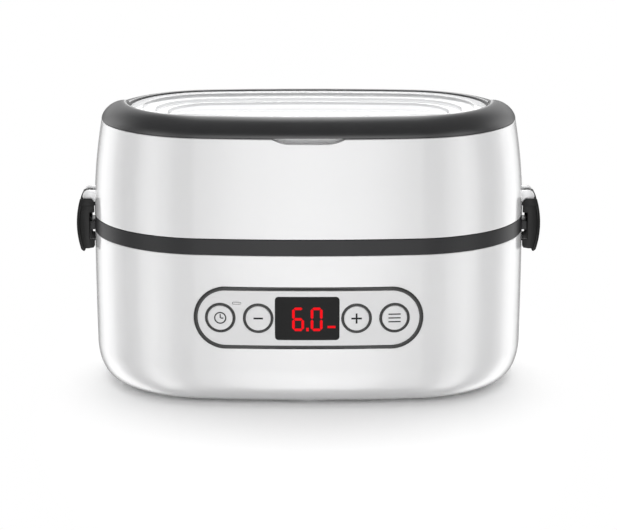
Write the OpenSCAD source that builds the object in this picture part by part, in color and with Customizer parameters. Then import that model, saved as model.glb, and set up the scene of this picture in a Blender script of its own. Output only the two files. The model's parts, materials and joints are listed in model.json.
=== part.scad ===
// Electric lunch box: a heated oval base, a tall cover held by two side latches,
// a folding carry handle around a clear window, and two stacked food bowls inside.
// Millimetres. +Z is up, the control panel faces -Y, the origin is on the ground
// under the middle of the body.

/* [Body] */
// Width of the body, side to side
body_w = 240; // [200:1:288]
// Depth of the body, front to back
body_d = 140; // [117:1:168]
// How far the front and back bow out past the round ends
front_bow = 2.8; // [2.2:0.1:4]
// Height of the base shell
base_h = 83.4; // [76:0.1:100]
// Height of the dark band around the rim of the base
band_h = 8.8; // [7.5:0.1:10.5]
// Height of the cover, from the band to its top deck
cover_h = 53.9; // [45:0.1:65]
// Wall of the base shell and the cover
wall = 2.6; // [2.2:0.1:3.1]
// Width of the rounding at the bottom edge
edge_w = 10; // [8:0.5:12]
// Height of the rounding at the bottom edge
edge_h = 20; // [16:1:24]
// How far the base wall leans in towards the bottom
base_draft = 0.8; // [0.5:0.1:1]
// How far the cover wall leans in towards the top
cover_draft = 4.8; // [4:0.1:5.6]
// Thickness of the cover's top deck
deck_t = 2.7; // [2.2:0.1:3.2]
// Gap between the cover's rim and the band
rim_gap = 0.2; // [0.1:0.05:0.4]

/* [Bottom] */
// Thickness of the bottom plate
plate_t = 2.6; // [2:0.1:3]
// Distance from the body's side to the bottom plate's edge
plate_inset = 13; // [12:0.5:15]
// Height of the feet under the body
foot_h = 2; // [1.6:0.1:2.6]
// Radius of the feet
foot_r = 5; // [4:0.5:6]
// Direction of each foot from the centre of the round end
foot_angle = 59; // [45:1:65]
// Radius of a plate screw's head
screw_head_r = 2.8; // [2.4:0.1:3.2]
// Radius of a plate screw's shank
screw_r = 1.4; // [1.2:0.1:1.6]

/* [Ring and handle] */
// Width of the dark ring, across the handle's bar
ring_w = 15.5; // [14:0.5:17]
// Height of the handle's bar above the deck
handle_h = 9.5; // [9:0.1:10.5]
// Height of the fixed rear trim above the deck
trim_h = 6.3; // [6:0.1:6.8]
// Fullness of the ring's outer curve: 2 is an oval, less is flatter
ring_full = 1.6; // [1.5:0.05:1.8]
// Gap under the handle and the rear trim
ring_gap = 0.4; // [0.3:0.05:0.6]
// Radius of the handle's rounded hinge end
knuckle_r = 5; // [4.8:0.1:5.2]
// Radius of the handle's hinge pins
handle_pin_r = 1.3; // [1.1:0.1:1.5]
// Width of the cover's lug inside each handle end
lug_w = 3; // [2.6:0.1:3.4]
// Width of the finger notch under the handle, at the top
notch_w = 36.5; // [30:0.5:42]
// Depth of the finger notch below the deck
notch_h = 2.9; // [2.4:0.1:3.4]

/* [Window] */
// Thickness of the window's outer flange
window_t = 3.4; // [3:0.1:3.8]
// Width of one step of the window
window_step_w = 7; // [6:0.5:8]
// Height of one step of the window
window_step_h = 1.4; // [1.2:0.1:1.5]
// Gap between the window's edge and the ring
window_gap = 0.3; // [0.2:0.05:0.5]

/* [Latches] */
// Width of a latch, front to back
latch_w = 19.5; // [17:0.5:23]
// Distance of the latch pin from the wall
latch_out = 3.2; // [3.1:0.1:3.4]
// Height of the latch pin above the band
latch_rise = 10.3; // [10:0.1:11]
// Radius of the latch pins
latch_pin_r = 1.2; // [1:0.1:1.3]
// Thickness of a latch's outer plate
latch_t = 2.4; // [2:0.1:2.6]
// Distance of the outermost point of a latch from the wall
latch_bulge = 9.7; // [9.6:0.1:10.5]
// Length of a latch below its pin
latch_len = 31.4; // [31:0.1:33]
// Distance that a catch lug stands out from the band
catch_out = 5; // [4.6:0.1:5.4]
// Overlap of a latch's hook under its catch lug
hook_bite = 1.2; // [0.8:0.1:1.5]

/* [Control panel] */
// Space at each end of the control panel, past the outer keys
panel_end = 6.75; // [5:0.25:8]
// Space above and below the display, to the panel's edge
panel_pad = 5.25; // [4:0.25:6]
// Height of the panel's centre above the ground
panel_z = 50.9; // [46:0.1:54]
// Width of the panel's dark trim
panel_rim = 2.1; // [1.6:0.1:2.6]
// Thickness of the panel's face
panel_t = 2.4; // [2:0.1:2.8]
// Outer radius of the ring around a key
key_ring_r = 8.25; // [6.8:0.05:10]
// Width of the ring around a key
key_ring_w = 1.35; // [1.1:0.05:1.6]
// Space between the display and the keys beside it
display_gap = 0.85; // [0.7:0.05:2]
// Space between two keys
key_space = 4; // [3:0.5:6]
// Gap between a key and its ring
key_gap = 0.15; // [0.1:0.01:0.2]
// Distance that a key travels when pressed
key_travel = 0.8; // [0.5:0.1:1]
// Width of the display window
display_w = 34.8; // [29:0.2:42]
// Height of the display window
display_h = 24.1; // [22:0.1:27]

/* [Heating] */
// Distance from the body's side to the heating pan
pan_inset = 20; // [19.5:0.5:22]
// Thickness of the pan's metal
pan_t = 0.8; // [0.6:0.1:1]
// Height of the pan's floor above the ground
pan_floor = 40; // [39:0.5:42]
// Radius of the pan's bottom corner
pan_corner = 8; // [6:0.5:9]
// Radius of the heating tube
tube_r = 3.2; // [2.8:0.1:3.3]

/* [Bowls] */
// Distance from the body's side to a bowl's rim
bowl_inset = 24; // [23.6:0.1:26]
// Wall of a bowl
bowl_t = 3.2; // [2.6:0.1:3.8]
// Lean of a bowl's side, bottom to top
bowl_draft = 5; // [3:0.5:7]
// Radius of a bowl's bottom corner
bowl_corner = 12; // [9:0.5:14]
// Height of a lid above its bowl's rim
lid_h = 3.4; // [3:0.1:4]
// Wall of a lid
lid_t = 1.4; // [1.2:0.1:1.6]

/* [Hidden] */
$fn = 72;
half_w = body_w / 2;
half_d = body_d / 2;
end_r = half_d - front_bow;
end_c = half_w - end_r;
front_r = snap((end_c * end_c + half_d * half_d - end_r * end_r) / (2 * front_bow));
end_angle = acos(end_c / (front_r - end_r));
front_c = end_c * tan(end_angle);
fill_y = 5;
fill_x = 3;
join_over = 1;
slack = 0.2;
skin = 0.05;

// Heights
z_under = foot_h;
z_rim = z_under + base_h;
z_band = z_rim + band_h;
z_deck = z_band + cover_h;
z_ring = z_deck + ring_gap;
z_top = z_deck + ring_gap + handle_h;

// Bottom
ledge_t = 2.5;
ledge_in = 19.5;
ledge_z = z_under + plate_t + slack;
screw_inset = 17;
screw_angle = 25;
boss_r = 3.4;
boss_h = 7;
screw_sink = 1.2;
screw_head_h = 1.1;
screw_socket_h = 0.7;
plate_screws = [for (sx = [-1, 1], sy = [-1, 1]) [
    sx * (end_c + (end_r - screw_inset) * cos(screw_angle)),
    sy * (end_r - screw_inset) * sin(screw_angle)
]];
centre_screws = [for (sy = [-1, 1]) [0, sy * (half_d - screw_inset)]];
all_screws = concat(plate_screws, centre_screws);
foot_inset = 18.5;
foot_spots = [for (sx = [-1, 1], sy = [-1, 1]) [
    sx * (end_c + (end_r - foot_inset) * cos(foot_angle)),
    sy * (end_r - foot_inset) * sin(foot_angle)
]];

// Ring, handle hinge and window
ring_out = cover_draft;
ring_in = ring_out + ring_w;
crest_in = ring_in - 2.8;
knuckle_y = -2.1;
knuckle_z = z_top + 0.3 - knuckle_r;
seat_r = knuckle_r + 0.3;
lug_x = half_w - ring_in + 3.8;
lug_r = 2.9;
lug_neck = 4.2;
lug_gap = 0.4;
slot_rise = lug_r + 0.3;
handle_pin_x0 = half_w - ring_in + 1.3;
handle_pin_x1 = half_w - crest_in + 6.8;
run_gap = 0.05;
window_in = ring_in + window_gap;
window_top = z_deck + 6.2;
window_low = window_top - window_t;
window_step_t = 2.4;
deck_in = window_in + window_step_w;
seal_w = window_step_w - 2;

// Latches: places in the plane across a latch are [distance from the wall, height]
latch_z = z_band + latch_rise;
ear_r = 3.1;
ear_in = 0.3;
cheek_t = 1.6;
ear_half = latch_w / 2 - cheek_t - 0.35;
latch_pin_half = ear_half - 0.8;
tongue_half = 4.3;
tongue_r = 2.7;
cheek_in = 0.4;
shoulder_z = latch_z - 5;
cheek_top = latch_z - 1.2;
cheek_step = 0.3;
catch_half = latch_w / 2 - cheek_t - 0.55;
catch_h = 5;
hook_h = 3.4;
hook_half = catch_half - 0.5;
hook_z = z_rim - 0.3;
hook_wedge = 1.5;
hook_back = 3.2;
hook_lean = 0.8;
bow_r = 50;
bow_z = latch_z - 15.5;
cheek_low = latch_z - 29.6;
cheek_notch_low = z_rim - 4.9;
cheek_notch_high = latch_z - 9;
cheek_notch_w = 2;
lip_round = 1.2;

// Control panel, measured inwards from the front of the body
trim_proud = 0.45;
face_proud = 0.15;
ring_proud = 0.35;
key_proud = 0.55;
key_r = key_ring_r - key_ring_w - key_gap;
key_lip = 0.9;
key_lip_t = 1;
key_stem_r = 2;
key_inner_x = display_w / 2 + display_gap + key_ring_r;
key_outer_x = key_inner_x + 2 * key_ring_r + key_space;
key_xs = [-key_outer_x, -key_inner_x, key_inner_x, key_outer_x];
key_shift = -0.6;
panel_w = 2 * (key_outer_x + key_ring_r + panel_end);
panel_h = display_h + 2 * panel_pad;
display_x = -0.7;
display_corner = 2;
display_t = 1.8;
lens_x = key_shift - (key_inner_x + key_outer_x) / 2 - 1.35;
lens_z = 8.2;
lens_w = 4.8;
lens_h = 1.4;
board_y = 12.4;
board_t = 1.6;
board_w = 2 * (key_outer_x + 9);
board_h = 39;
board_post_r = 2.4;
board_posts = [for (sx = [-1, 1], sz = [-1, 1]) [key_shift + sx * (key_inner_x + 6), sz * 11.5]];
switch_w = 6;
plunger_r = 1.7;
stem_y = 9;
led_w = 28;
led_h = 19;

// Heating
pan_flange_in = 8.4;
ledge_step = 3.2;
band_ledge = z_band - ledge_step;
band_ledge_in = 15;
pan_floor_top = pan_floor + pan_t;
heater_t = 2.8;
heater_inset = 34;
tube_z = pan_floor - heater_t - 0.15 - tube_r;
tube_half_l = 42;
tube_bend = 22;
shield_z = 27;
shield_t = 0.8;
shield_inset = 26;
shield_post_x = 30;
power_z = 11;
power_t = 1.6;
power_w = 92;
power_d = 56;
power_x = -12;
board_screw_in = 5;
board_screw_r = 1.15;
board_hole_r = 1.6;
board_spots = [for (sx = [-1, 1], sy = [-1, 1]) [
    power_x + sx * (power_w / 2 - board_screw_in),
    sy * (power_d / 2 - board_screw_in)
]];

// Power inlet at the back
inlet_z = 22.5;
inlet_w = 27.5;
inlet_h = 19.8;
inlet_flange = 2;
inlet_border = 2.5;
inlet_deep = 19;
inlet_wall = 2;
inlet_rear_t = 5;
inlet_face = half_d + trim_proud;
inlet_back = inlet_face - inlet_flange;
pin_w = 2;
pin_h = 4;
pin_l = 22;
pin_end = inlet_back - inlet_deep - 6;
pin_spots = [[-7, -2], [0, 2], [7, -2]];

// Bowls and rack
rack_t = 1;
rack_z = band_ledge + pan_t;
lower_bowl_z = pan_floor_top;
lower_top = rack_z - 0.5 - lid_h;
upper_bowl_z = rack_z + rack_t;
upper_top = z_deck - deck_t - 1.4 - lid_h;
bowl_foot = 26;
bowl_foot_h = 1.5;
bowl_foot_bite = 1;

// ---- Outlines ----

// A length to the nearest hundredth of a millimetre
function snap(v) = round(v * 100) / 100;

// Points along an arc
function arc(x, y, r, from, to, steps) = [
    for (i = [0:steps])
        let (t = from + (to - from) * i / steps)
            [x + r * cos(t), y + r * sin(t)]
];

// Points along part of an ellipse
function ellipse(x, y, w, h, from, to, steps) = [
    for (i = [0:steps])
        let (t = from + (to - from) * i / steps)
            [x + w * cos(t), y + h * sin(t)]
];

// A slot outline with round ends
function stadium(w, h) = concat(
    arc(w / 2 - h / 2, 0, h / 2, -90, 90, 28),
    arc(h / 2 - w / 2, 0, h / 2, 90, 270, 28)
);

// A rectangle with round corners
function rounded(w, h, r) = concat(
    arc(w / 2 - r, h / 2 - r, r, 0, 90, 8),
    arc(r - w / 2, h / 2 - r, r, 90, 180, 8),
    arc(r - w / 2, r - h / 2, r, 180, 270, 8),
    arc(w / 2 - r, r - h / 2, r, 270, 360, 8)
);

// The depth at a place across the front or back, some way in from the body's side
function oval_y(x, inset) = sqrt(pow(front_r - inset, 2) - x * x) - front_c;

// How far the base wall stands in at a height
function base_in(z) = base_draft * pow((z_rim - z) / base_h, 2);

// How far the cover wall stands in at a height
function cover_in(z) = cover_draft * pow((z - z_band) / cover_h, 2);

// The base's outer wall, bottom to top, as [inset, height]
function base_wall(extra, from_z) = [
    for (t = [0:10:90])
        let (z = z_under + edge_h * (1 - cos(t)))
            if (z > from_z) [edge_w * (1 - sin(t)) + base_in(z) + extra, z],
    for (i = [1:4])
        let (z = z_under + edge_h + (base_h - edge_h) * i / 4)
            [base_in(z) + extra, z]
];

// The cover's wall, bottom to top, as [inset, height]
function cover_wall(extra, to_z) = [
    for (i = [0:8])
        let (z = z_band + rim_gap + (to_z - z_band - rim_gap) * i / 8)
            [cover_in(z) + extra, z]
];

function reversed(list) = [for (i = [len(list) - 1:-1:0]) list[i]];

// ---- Oval bodies: every [inset, height] outline is swept around the same oval ----

// One quarter of a closed outline swept around the oval: part of a round end, then
// half of the back, which share the flat face where their arcs meet
module oval_quarter(outline) {
    intersection() {
        translate([end_c, 0, 0])
            rotate([0, 0, end_angle]) {
                rotate_extrude(angle = end_angle + join_over, start = -end_angle - join_over)
                    polygon([for (p = outline) [end_r - snap(p[0]), snap(p[1])]]);
                translate([end_r - front_r, 0, 0])
                    rotate_extrude(angle = 90 - end_angle + join_over, start = 0, $fn = 256)
                        polygon([for (p = outline) [front_r - snap(p[0]), snap(p[1])]]);
            }
        translate([0, 0, -1])
            cube([body_w, body_d, 2 * z_top]);
    }
}

// A closed outline swept around the whole oval
module oval_sweep(outline) {
    for (sx = [0, 1], sy = [0, 1])
        mirror([sx, 0, 0])
            mirror([0, sy, 0])
                oval_quarter(outline);
}

// A solid oval whose side follows the outline from its bottom to its top
module oval_solid(outline) {
    low = outline[0][1];
    high = outline[len(outline) - 1][1];
    oval_sweep(concat([[end_r, low]], outline, [[end_r, high]]));
    translate([-end_c - fill_x, -fill_y, low])
        cube([2 * (end_c + fill_x), 2 * fill_y, high - low]);
}

// A flat oval plate
module oval_plate(inset, low, high) {
    oval_solid([[inset, low], [inset, high]]);
}

// A flat oval ring
module oval_ring(outer, inner, low, high) {
    oval_sweep([[outer, low], [inner, low], [inner, high], [outer, high]]);
}

// A flat shape drawn on the front, cut through to the middle of the body
module through_front() {
    rotate([90, 0, 0])
        linear_extrude(height = body_d)
            children();
}

// The part of the body's front skin between two depths, under a flat shape
module front_skin(outer, inner, low, high) {
    intersection() {
        oval_ring(outer, inner, low, high);
        through_front()
            children();
    }
}

// An eight-sided wire through a list of points, its runs lapped at each bend
module wire(points, r) {
    last = len(points) - 2;
    for (i = [0:last]) {
        span = points[i + 1] - points[i];
        before = i > 0 ? r : 0;
        after = i < last ? r : 0;
        translate(points[i])
            rotate([0, atan2(norm([span[0], span[1]]), span[2]), atan2(span[1], span[0])])
                translate([0, 0, -before])
                    cylinder(r = r, h = norm(span) + before + after, $fn = 8);
    }
}

module box_at(x, y, z, w, d, h) {
    translate([x - w / 2, y - d / 2, z])
        cube([w, d, h]);
}

// ---- Base ----

module base_shell() {
    color("white")
    difference() {
        union() {
            oval_sweep(concat(
                [[plate_inset, z_under]],
                base_wall(0, z_under - 1),
                reversed(base_wall(wall, ledge_z + ledge_t)),
                [
                    [ledge_in, ledge_z + ledge_t],
                    [ledge_in, ledge_z],
                    [plate_inset, ledge_z]
                ]
            ));
            for (p = all_screws)
                translate([p[0], p[1], ledge_z])
                    cylinder(r = boss_r, h = boss_h);
        }
        for (p = all_screws)
            translate([p[0], p[1], ledge_z - 1])
                cylinder(r = screw_r + run_gap, h = boss_h - 1);
        translate([0, 0, panel_z])
            through_front()
                polygon(stadium(panel_w + 2 * skin, panel_h + 2 * skin));
        inlet_box(slack, inlet_back - 2 * edge_w, 0);
        inlet_box(slack, inlet_back - skin, inlet_border);
    }
}

module bottom_plate() {
    slot_w = 3;
    slot_l = 26;
    pitch = 7;
    color("whitesmoke")
    difference() {
        union() {
            oval_plate(plate_inset + slack, z_under, z_under + plate_t);
            for (p = board_spots)
                translate([p[0], p[1], z_under + plate_t - 1])
                    cylinder(r = boss_r, h = power_z - z_under - plate_t + 1);
        }
        for (p = all_screws)
            translate([p[0], p[1], z_under - 1]) {
                cylinder(r = screw_r + slack, h = plate_t + 2);
                cylinder(r = screw_head_r + slack, h = 1 + screw_sink);
            }
        for (p = foot_spots)
            translate([p[0], p[1], z_under - 1])
                cylinder(r = foot_r + skin, h = 1 + plate_t / 2);
        for (p = board_spots)
            translate([p[0], p[1], z_under + 1])
                cylinder(r = board_screw_r + skin, h = power_z);
        for (i = [-3:3])
            translate([end_c + i * pitch, 0, 0])
                box_at(0, 0, z_under - 1, slot_w, slot_l, plate_t + 2);
    }
}

module feet() {
    color("gainsboro")
    for (p = foot_spots)
        translate([p[0], p[1], 0])
            rotate_extrude()
                polygon([
                    [0, 0], [foot_r - 1, 0], [foot_r, 1],
                    [foot_r, z_under + plate_t / 2], [0, z_under + plate_t / 2]
                ]);
}

module plate_screws() {
    color("silver")
    for (p = all_screws)
        translate([p[0], p[1], z_under + skin])
            difference() {
                union() {
                    cylinder(r = screw_head_r, h = screw_head_h);
                    cylinder(r = screw_r, h = boss_h - 1);
                }
                translate([0, 0, -0.01])
                    cylinder(r = screw_head_r / 2, h = screw_socket_h, $fn = 6);
            }
}

// The dark band: it caps the base shell, carries the pan and has the two catch lugs
module band_ring() {
    skirt_in = wall + 0.25;
    skirt_t = 2.3;
    skirt_h = 4;
    flat_in = 8;
    floor_z = band_ledge - 2.6;
    root = -1.5;
    lip = 1.8;
    slope = 1.6;
    color("dimgray")
    union() {
        oval_sweep([
            [0.1, z_rim], [0.1, z_band], [flat_in, z_band], [flat_in, band_ledge],
            [band_ledge_in, band_ledge], [band_ledge_in, floor_z],
            [skirt_in + skirt_t, floor_z], [skirt_in + skirt_t, z_rim - skirt_h],
            [skirt_in, z_rim - skirt_h], [skirt_in, z_rim]
        ]);
        for (turn = [0, 180])
            rotate([0, 0, turn])
                translate([half_w, catch_half, 0])
                    rotate([90, 0, 0])
                        linear_extrude(height = 2 * catch_half)
                            polygon([
                                [root, z_rim], [catch_out, z_rim], [catch_out, z_rim + lip],
                                [catch_out - slope, z_rim + catch_h], [root, z_rim + catch_h]
                            ]);
    }
}

module band_seal() {
    color("lightgray")
    oval_ring(band_ledge_in + skin, band_ledge_in + 2, band_ledge - 2, band_ledge - skin);
}

module heating_pan() {
    corner = arc(pan_inset + pan_corner, pan_floor + pan_corner, pan_corner, 270, 180, 8);
    inside = arc(
        pan_inset + pan_corner, pan_floor + pan_corner, pan_corner - pan_t, 270, 180, 8
    );
    color("silver")
    difference() {
        oval_solid(concat(corner, [
            [pan_inset, band_ledge], [pan_flange_in, band_ledge], [pan_flange_in, rack_z]
        ]));
        oval_solid(concat(inside, [[pan_inset + pan_t, z_band]]));
    }
}

module heater_plate() {
    color("gray")
    oval_plate(heater_inset, pan_floor - heater_t, pan_floor);
}

// A sheathed heating tube: a long loop with its two ends turned down
module heating_tube() {
    drop = 5;
    color("dimgray") {
        for (sy = [-1, 1])
            translate([-tube_half_l, sy * tube_bend, tube_z])
                rotate([0, 90, 0])
                    cylinder(r = tube_r, h = 2 * tube_half_l);
        translate([tube_half_l, 0, tube_z])
            rotate_extrude(angle = 180, start = -90)
                translate([tube_bend, 0])
                    circle(r = tube_r);
        for (sy = [-1, 1])
            translate([-tube_half_l, sy * tube_bend, tube_z - drop])
                rotate([90, 0, 0])
                    rotate_extrude(angle = 90, start = 90)
                        translate([drop, 0])
                            circle(r = tube_r);
    }
}

module heat_shield() {
    post_r = 2.5;
    slot_w = 16;
    slot_d = 12;
    color("lightgray")
    difference() {
        union() {
            oval_plate(shield_inset, shield_z, shield_z + shield_t);
            for (sx = [-1, 1])
                translate([sx * shield_post_x, 0, shield_z + shield_t / 2])
                    cylinder(r = post_r, h = pan_floor - heater_t - shield_z - shield_t / 2);
        }
        for (sy = [-1, 1])
            box_at(-tube_half_l - 4, sy * tube_bend, shield_z - 1, slot_w, slot_d, shield_t + 2);
    }
}

module thermostat() {
    cup_r = 8;
    cup_h = 6.5;
    tab_w = 4;
    tab_l = 4.5;
    tab_t = 0.8;
    tab_z = 1.5;
    color("tan")
    translate([-12, 0, pan_floor - heater_t - cup_h]) {
        cylinder(r = cup_r, h = cup_h);
        box_at(0, 0, tab_z, 2 * (cup_r + tab_l), tab_w, tab_t);
    }
}

module thermal_fuse() {
    fuse_r = 2.1;
    fuse_l = 13;
    wire_r = 0.6;
    wire_l = 5;
    color("white")
    translate([12, 12, pan_floor - heater_t - fuse_r - 0.2]) {
        rotate([0, 90, 0])
            cylinder(r = fuse_r, h = fuse_l);
        translate([-wire_l, 0, 0])
            rotate([0, 90, 0])
                cylinder(r = wire_r, h = fuse_l + 2 * wire_l);
    }
}

module temperature_sensor() {
    cup_h = 5;
    tip_h = 2.5;
    color("goldenrod")
    translate([tube_half_l - 4, 0, pan_floor - heater_t]) {
        translate([0, 0, -cup_h])
            cylinder(r = 3, h = cup_h);
        translate([0, 0, -cup_h - tip_h])
            cylinder(r = 1.4, h = tip_h + 0.5);
    }
}

module power_board() {
    color("seagreen")
    difference() {
        box_at(power_x, 0, power_z, power_w, power_d, power_t);
        for (p = board_spots)
            translate([p[0], p[1], power_z - 1])
                cylinder(r = board_hole_r, h = power_t + 2);
    }
}

module board_screws() {
    head_r = 2.6;
    head_h = 1.5;
    bite = 5;
    color("silver")
    for (p = board_spots)
        translate([p[0], p[1], 0]) {
            translate([0, 0, power_z + power_t])
                cylinder(r = head_r, h = head_h);
            translate([0, 0, power_z - bite])
                cylinder(r = board_screw_r, h = bite + 0.5 + power_t);
        }
}

module transformer() {
    top = power_z + power_t;
    color("gold")
    box_at(power_x - 20, 4, top, 22, 18, 12);
    color("dimgray")
    box_at(power_x - 20, 4, top + 2, 14, 24, 8);
}

module relay() {
    color("royalblue")
    box_at(power_x + 8, 12, power_z + power_t, 19, 15.5, 11);
}

module capacitors() {
    color("black")
    for (x = [0, 14])
        translate([power_x + x, -14, power_z + power_t])
            cylinder(r = 5, h = 12);
}

module terminal_block() {
    color("green")
    difference() {
        box_at(power_x + 30, 12, power_z + power_t, 14, 18, 9);
        for (y = [6, 12, 18])
            translate([power_x + 30, y, power_z + power_t + 5])
                cylinder(r = 1.8, h = 5);
    }
}

// ---- Power inlet ----

// A box through the back of the body, as wide and high as the inlet and its border
module inlet_box(gap, from_y, border) {
    translate([-inlet_w / 2 - border - gap, from_y, inlet_z - inlet_h / 2 - border - gap])
        cube([
            inlet_w + 2 * (border + gap), inlet_face - from_y, inlet_h + 2 * (border + gap)
        ]);
}

module power_inlet() {
    color("black")
    difference() {
        union() {
            inlet_box(0, inlet_back - inlet_deep - 1, 0);
            inlet_box(0, inlet_back, inlet_border);
        }
        inlet_box(-inlet_wall, inlet_back - inlet_deep - 1 + inlet_rear_t, 0);
        for (p = pin_spots)
            translate([p[0], pin_end + pin_l / 2, inlet_z + p[1]])
                cube([pin_w + 2 * skin, pin_l, pin_h + 2 * skin], center = true);
    }
}

module inlet_pins() {
    color("silver")
    for (p = pin_spots)
        translate([p[0], pin_end + pin_l / 2, inlet_z + p[1]])
            cube([pin_w, pin_l, pin_h], center = true);
}

module inlet_leads() {
    block_x = power_x + 30;
    color("saddlebrown")
    for (i = [0:2])
        wire([
            [pin_spots[i][0], pin_end - 0.2, inlet_z + pin_spots[i][1]],
            [pin_spots[i][0], pin_end - 5, inlet_z + pin_spots[i][1]],
            [block_x, 6 + 6 * i, power_z + power_t + 12],
            [block_x, 6 + 6 * i, power_z + power_t + 5.2]
        ], 1.1);
}

module heater_leads() {
    end_x = -tube_half_l - 5;
    end_z = tube_z - 5;
    color("firebrick")
    for (sy = [-1, 1])
        wire([
            [end_x, sy * tube_bend, end_z - 0.3],
            [end_x, sy * tube_bend, end_z - 6],
            [end_x, sy * (tube_bend - 3), power_z + power_t + 0.4]
        ], 1.2);
}

// ---- Front panel ----

module panel_band(outer, inner) {
    front_skin(outer, inner, panel_z - panel_h, panel_z + panel_h)
        translate([0, panel_z])
            children();
}

module key_circles(r) {
    for (x = key_xs)
        translate([x + key_shift, 0])
            circle(r = r);
}

module panel_trim() {
    color("dimgray")
    panel_band(-trim_proud, panel_t)
        difference() {
            polygon(stadium(panel_w, panel_h));
            polygon(stadium(panel_w - 2 * panel_rim, panel_h - 2 * panel_rim));
        }
}

module panel_face() {
    color("whitesmoke")
    difference() {
        union() {
            panel_band(-face_proud, panel_t)
                polygon(stadium(panel_w - 2 * panel_rim - 0.1, panel_h - 2 * panel_rim - 0.1));
            for (p = board_posts)
                translate([p[0], -half_d + 1.5, panel_z + p[1]])
                    rotate([-90, 0, 0])
                        cylinder(r = board_post_r, h = board_y - 1.5);
        }
        for (x = key_xs)
            translate([x + key_shift, -half_d - 5, panel_z])
                rotate([-90, 0, 0])
                    cylinder(r = key_ring_r + skin, h = 12);
        translate([display_x, 0, panel_z])
            through_front()
                polygon(rounded(display_w + 0.1, display_h + 0.1, display_corner));
        translate([lens_x, 0, panel_z + lens_z])
            through_front()
                polygon(stadium(lens_w + 0.1, lens_h + 0.1));
    }
}

module key_rings() {
    color("dimgray")
    panel_band(-ring_proud, panel_t)
        difference() {
            key_circles(key_ring_r);
            key_circles(key_ring_r - key_ring_w);
        }
}

// A key: its round face is cut to the bow of the front, and a lip behind the ring
// keeps it in
module key(x) {
    centre = x + key_shift;
    lip_y = -oval_y(centre, panel_t) + 0.35 + abs(centre) * key_ring_r / front_r;
    panel_band(-key_proud, panel_t + 1.5)
        translate([centre, 0])
            circle(r = key_r);
    translate([centre, lip_y, panel_z])
        rotate([-90, 0, 0]) {
            cylinder(r = key_r + key_lip, h = key_lip_t);
            cylinder(r = key_stem_r, h = stem_y - half_d - lip_y);
        }
}

module timer_key() {
    color("whitesmoke")
    key(key_xs[0]);
}

module minus_key() {
    color("whitesmoke")
    key(key_xs[1]);
}

module plus_key() {
    color("whitesmoke")
    key(key_xs[2]);
}

module menu_key() {
    color("whitesmoke")
    key(key_xs[3]);
}

module display_window() {
    color("black")
    panel_band(-face_proud, display_t)
        translate([display_x, 0])
            polygon(rounded(display_w, display_h, display_corner));
}

module indicator_lens() {
    color("lightgray")
    panel_band(-face_proud, panel_t + 2)
        translate([lens_x, lens_z])
            polygon(stadium(lens_w, lens_h));
}

module control_board() {
    color("seagreen")
    difference() {
        box_at(0, -half_d + board_y + board_t / 2, panel_z - board_h / 2, board_w, board_t, board_h);
        for (p = board_posts)
            translate([p[0], -half_d + board_y - 1, panel_z + p[1]])
                rotate([-90, 0, 0])
                    cylinder(r = 1, h = board_t + 2);
    }
}

module control_chip() {
    color("black")
    box_at(-20, -half_d + board_y + board_t + 1, panel_z - 5, 12, 2, 12);
    color("white")
    box_at(10, -half_d + board_y + board_t + 1.9, panel_z - 16, 16, 3.8, 6);
}

module tact_switches() {
    plunger_y = stem_y + key_travel + 0.1;
    color("black")
    for (x = key_xs)
        translate([x + key_shift, -half_d, panel_z]) {
            box_at(0, board_y - 1, -switch_w / 2, switch_w, 2, switch_w);
            translate([0, plunger_y, 0])
                rotate([-90, 0, 0])
                    cylinder(r = plunger_r, h = board_y - plunger_y - 0.5);
        }
}

module led_display() {
    color("dimgray")
    box_at(
        display_x, -half_d + (board_y + 3.2) / 2, panel_z - led_h / 2,
        led_w, board_y - 3.2, led_h
    );
}

module ribbon_cable() {
    run_z = power_z + power_t;
    near = -power_d / 2 + 6;
    far = -half_d + board_y + board_t + 3;
    t = 0.9;
    color("lightgray")
    translate([2, 0, 0])
        rotate([90, 0, 90])
            linear_extrude(height = 14)
                polygon([
                    [near, run_z], [near, run_z + 4], [far + 2, run_z + 6], [far, run_z + 10],
                    [far, panel_z - 16.2], [far - t, panel_z - 16.2], [far - t, run_z + 10 - t],
                    [far + 2 - t, run_z + 6 - t], [near - t, run_z + 4 - t], [near - t, run_z]
                ]);
}

// ---- Bowls ----

module bowl(low, high) {
    outer = concat(
        arc(bowl_inset + bowl_draft + bowl_corner, low + bowl_foot_h + bowl_corner,
            bowl_corner, 270, 180, 8),
        [[bowl_inset + 1.2, high - 4], [bowl_inset, high - 3], [bowl_inset, high]]
    );
    inner = concat(
        arc(bowl_inset + bowl_draft + bowl_corner, low + bowl_foot_h + bowl_corner,
            bowl_corner - bowl_t, 270, 180, 8),
        [[bowl_inset + bowl_t, high], [bowl_inset + bowl_t, high + 1]]
    );
    color("ivory")
    difference() {
        union() {
            oval_solid(outer);
            oval_ring(bowl_inset + bowl_foot - 6, bowl_inset + bowl_foot - 3, low,
                low + bowl_foot_h + bowl_foot_bite);
        }
        oval_solid(inner);
    }
}

// A lid: a skirt over the bowl's rim and a stepped top
module lid(top) {
    skirt_in = bowl_inset - slack - 0.1;
    skirt_out = skirt_in - lid_t;
    step = 13;
    rise = lid_h - lid_t;
    difference() {
        oval_solid([
            [skirt_out, top - 3], [skirt_out, top + lid_t], [skirt_out + step, top + lid_t],
            [skirt_out + step + 1, top + lid_t + rise], [skirt_out + step + 2, top + lid_t + rise]
        ]);
        oval_solid([
            [skirt_in, top - 4], [skirt_in, top], [skirt_in + step, top],
            [skirt_in + step + 1, top + rise], [skirt_in + step + 2, top + rise]
        ]);
    }
}

module lower_bowl() {
    bowl(lower_bowl_z, lower_top);
}

module upper_bowl() {
    bowl(upper_bowl_z, upper_top);
}

module lower_lid() {
    color("lightgray")
    lid(lower_top);
}

module upper_lid() {
    color("lightgray")
    lid(upper_top);
}

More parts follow.
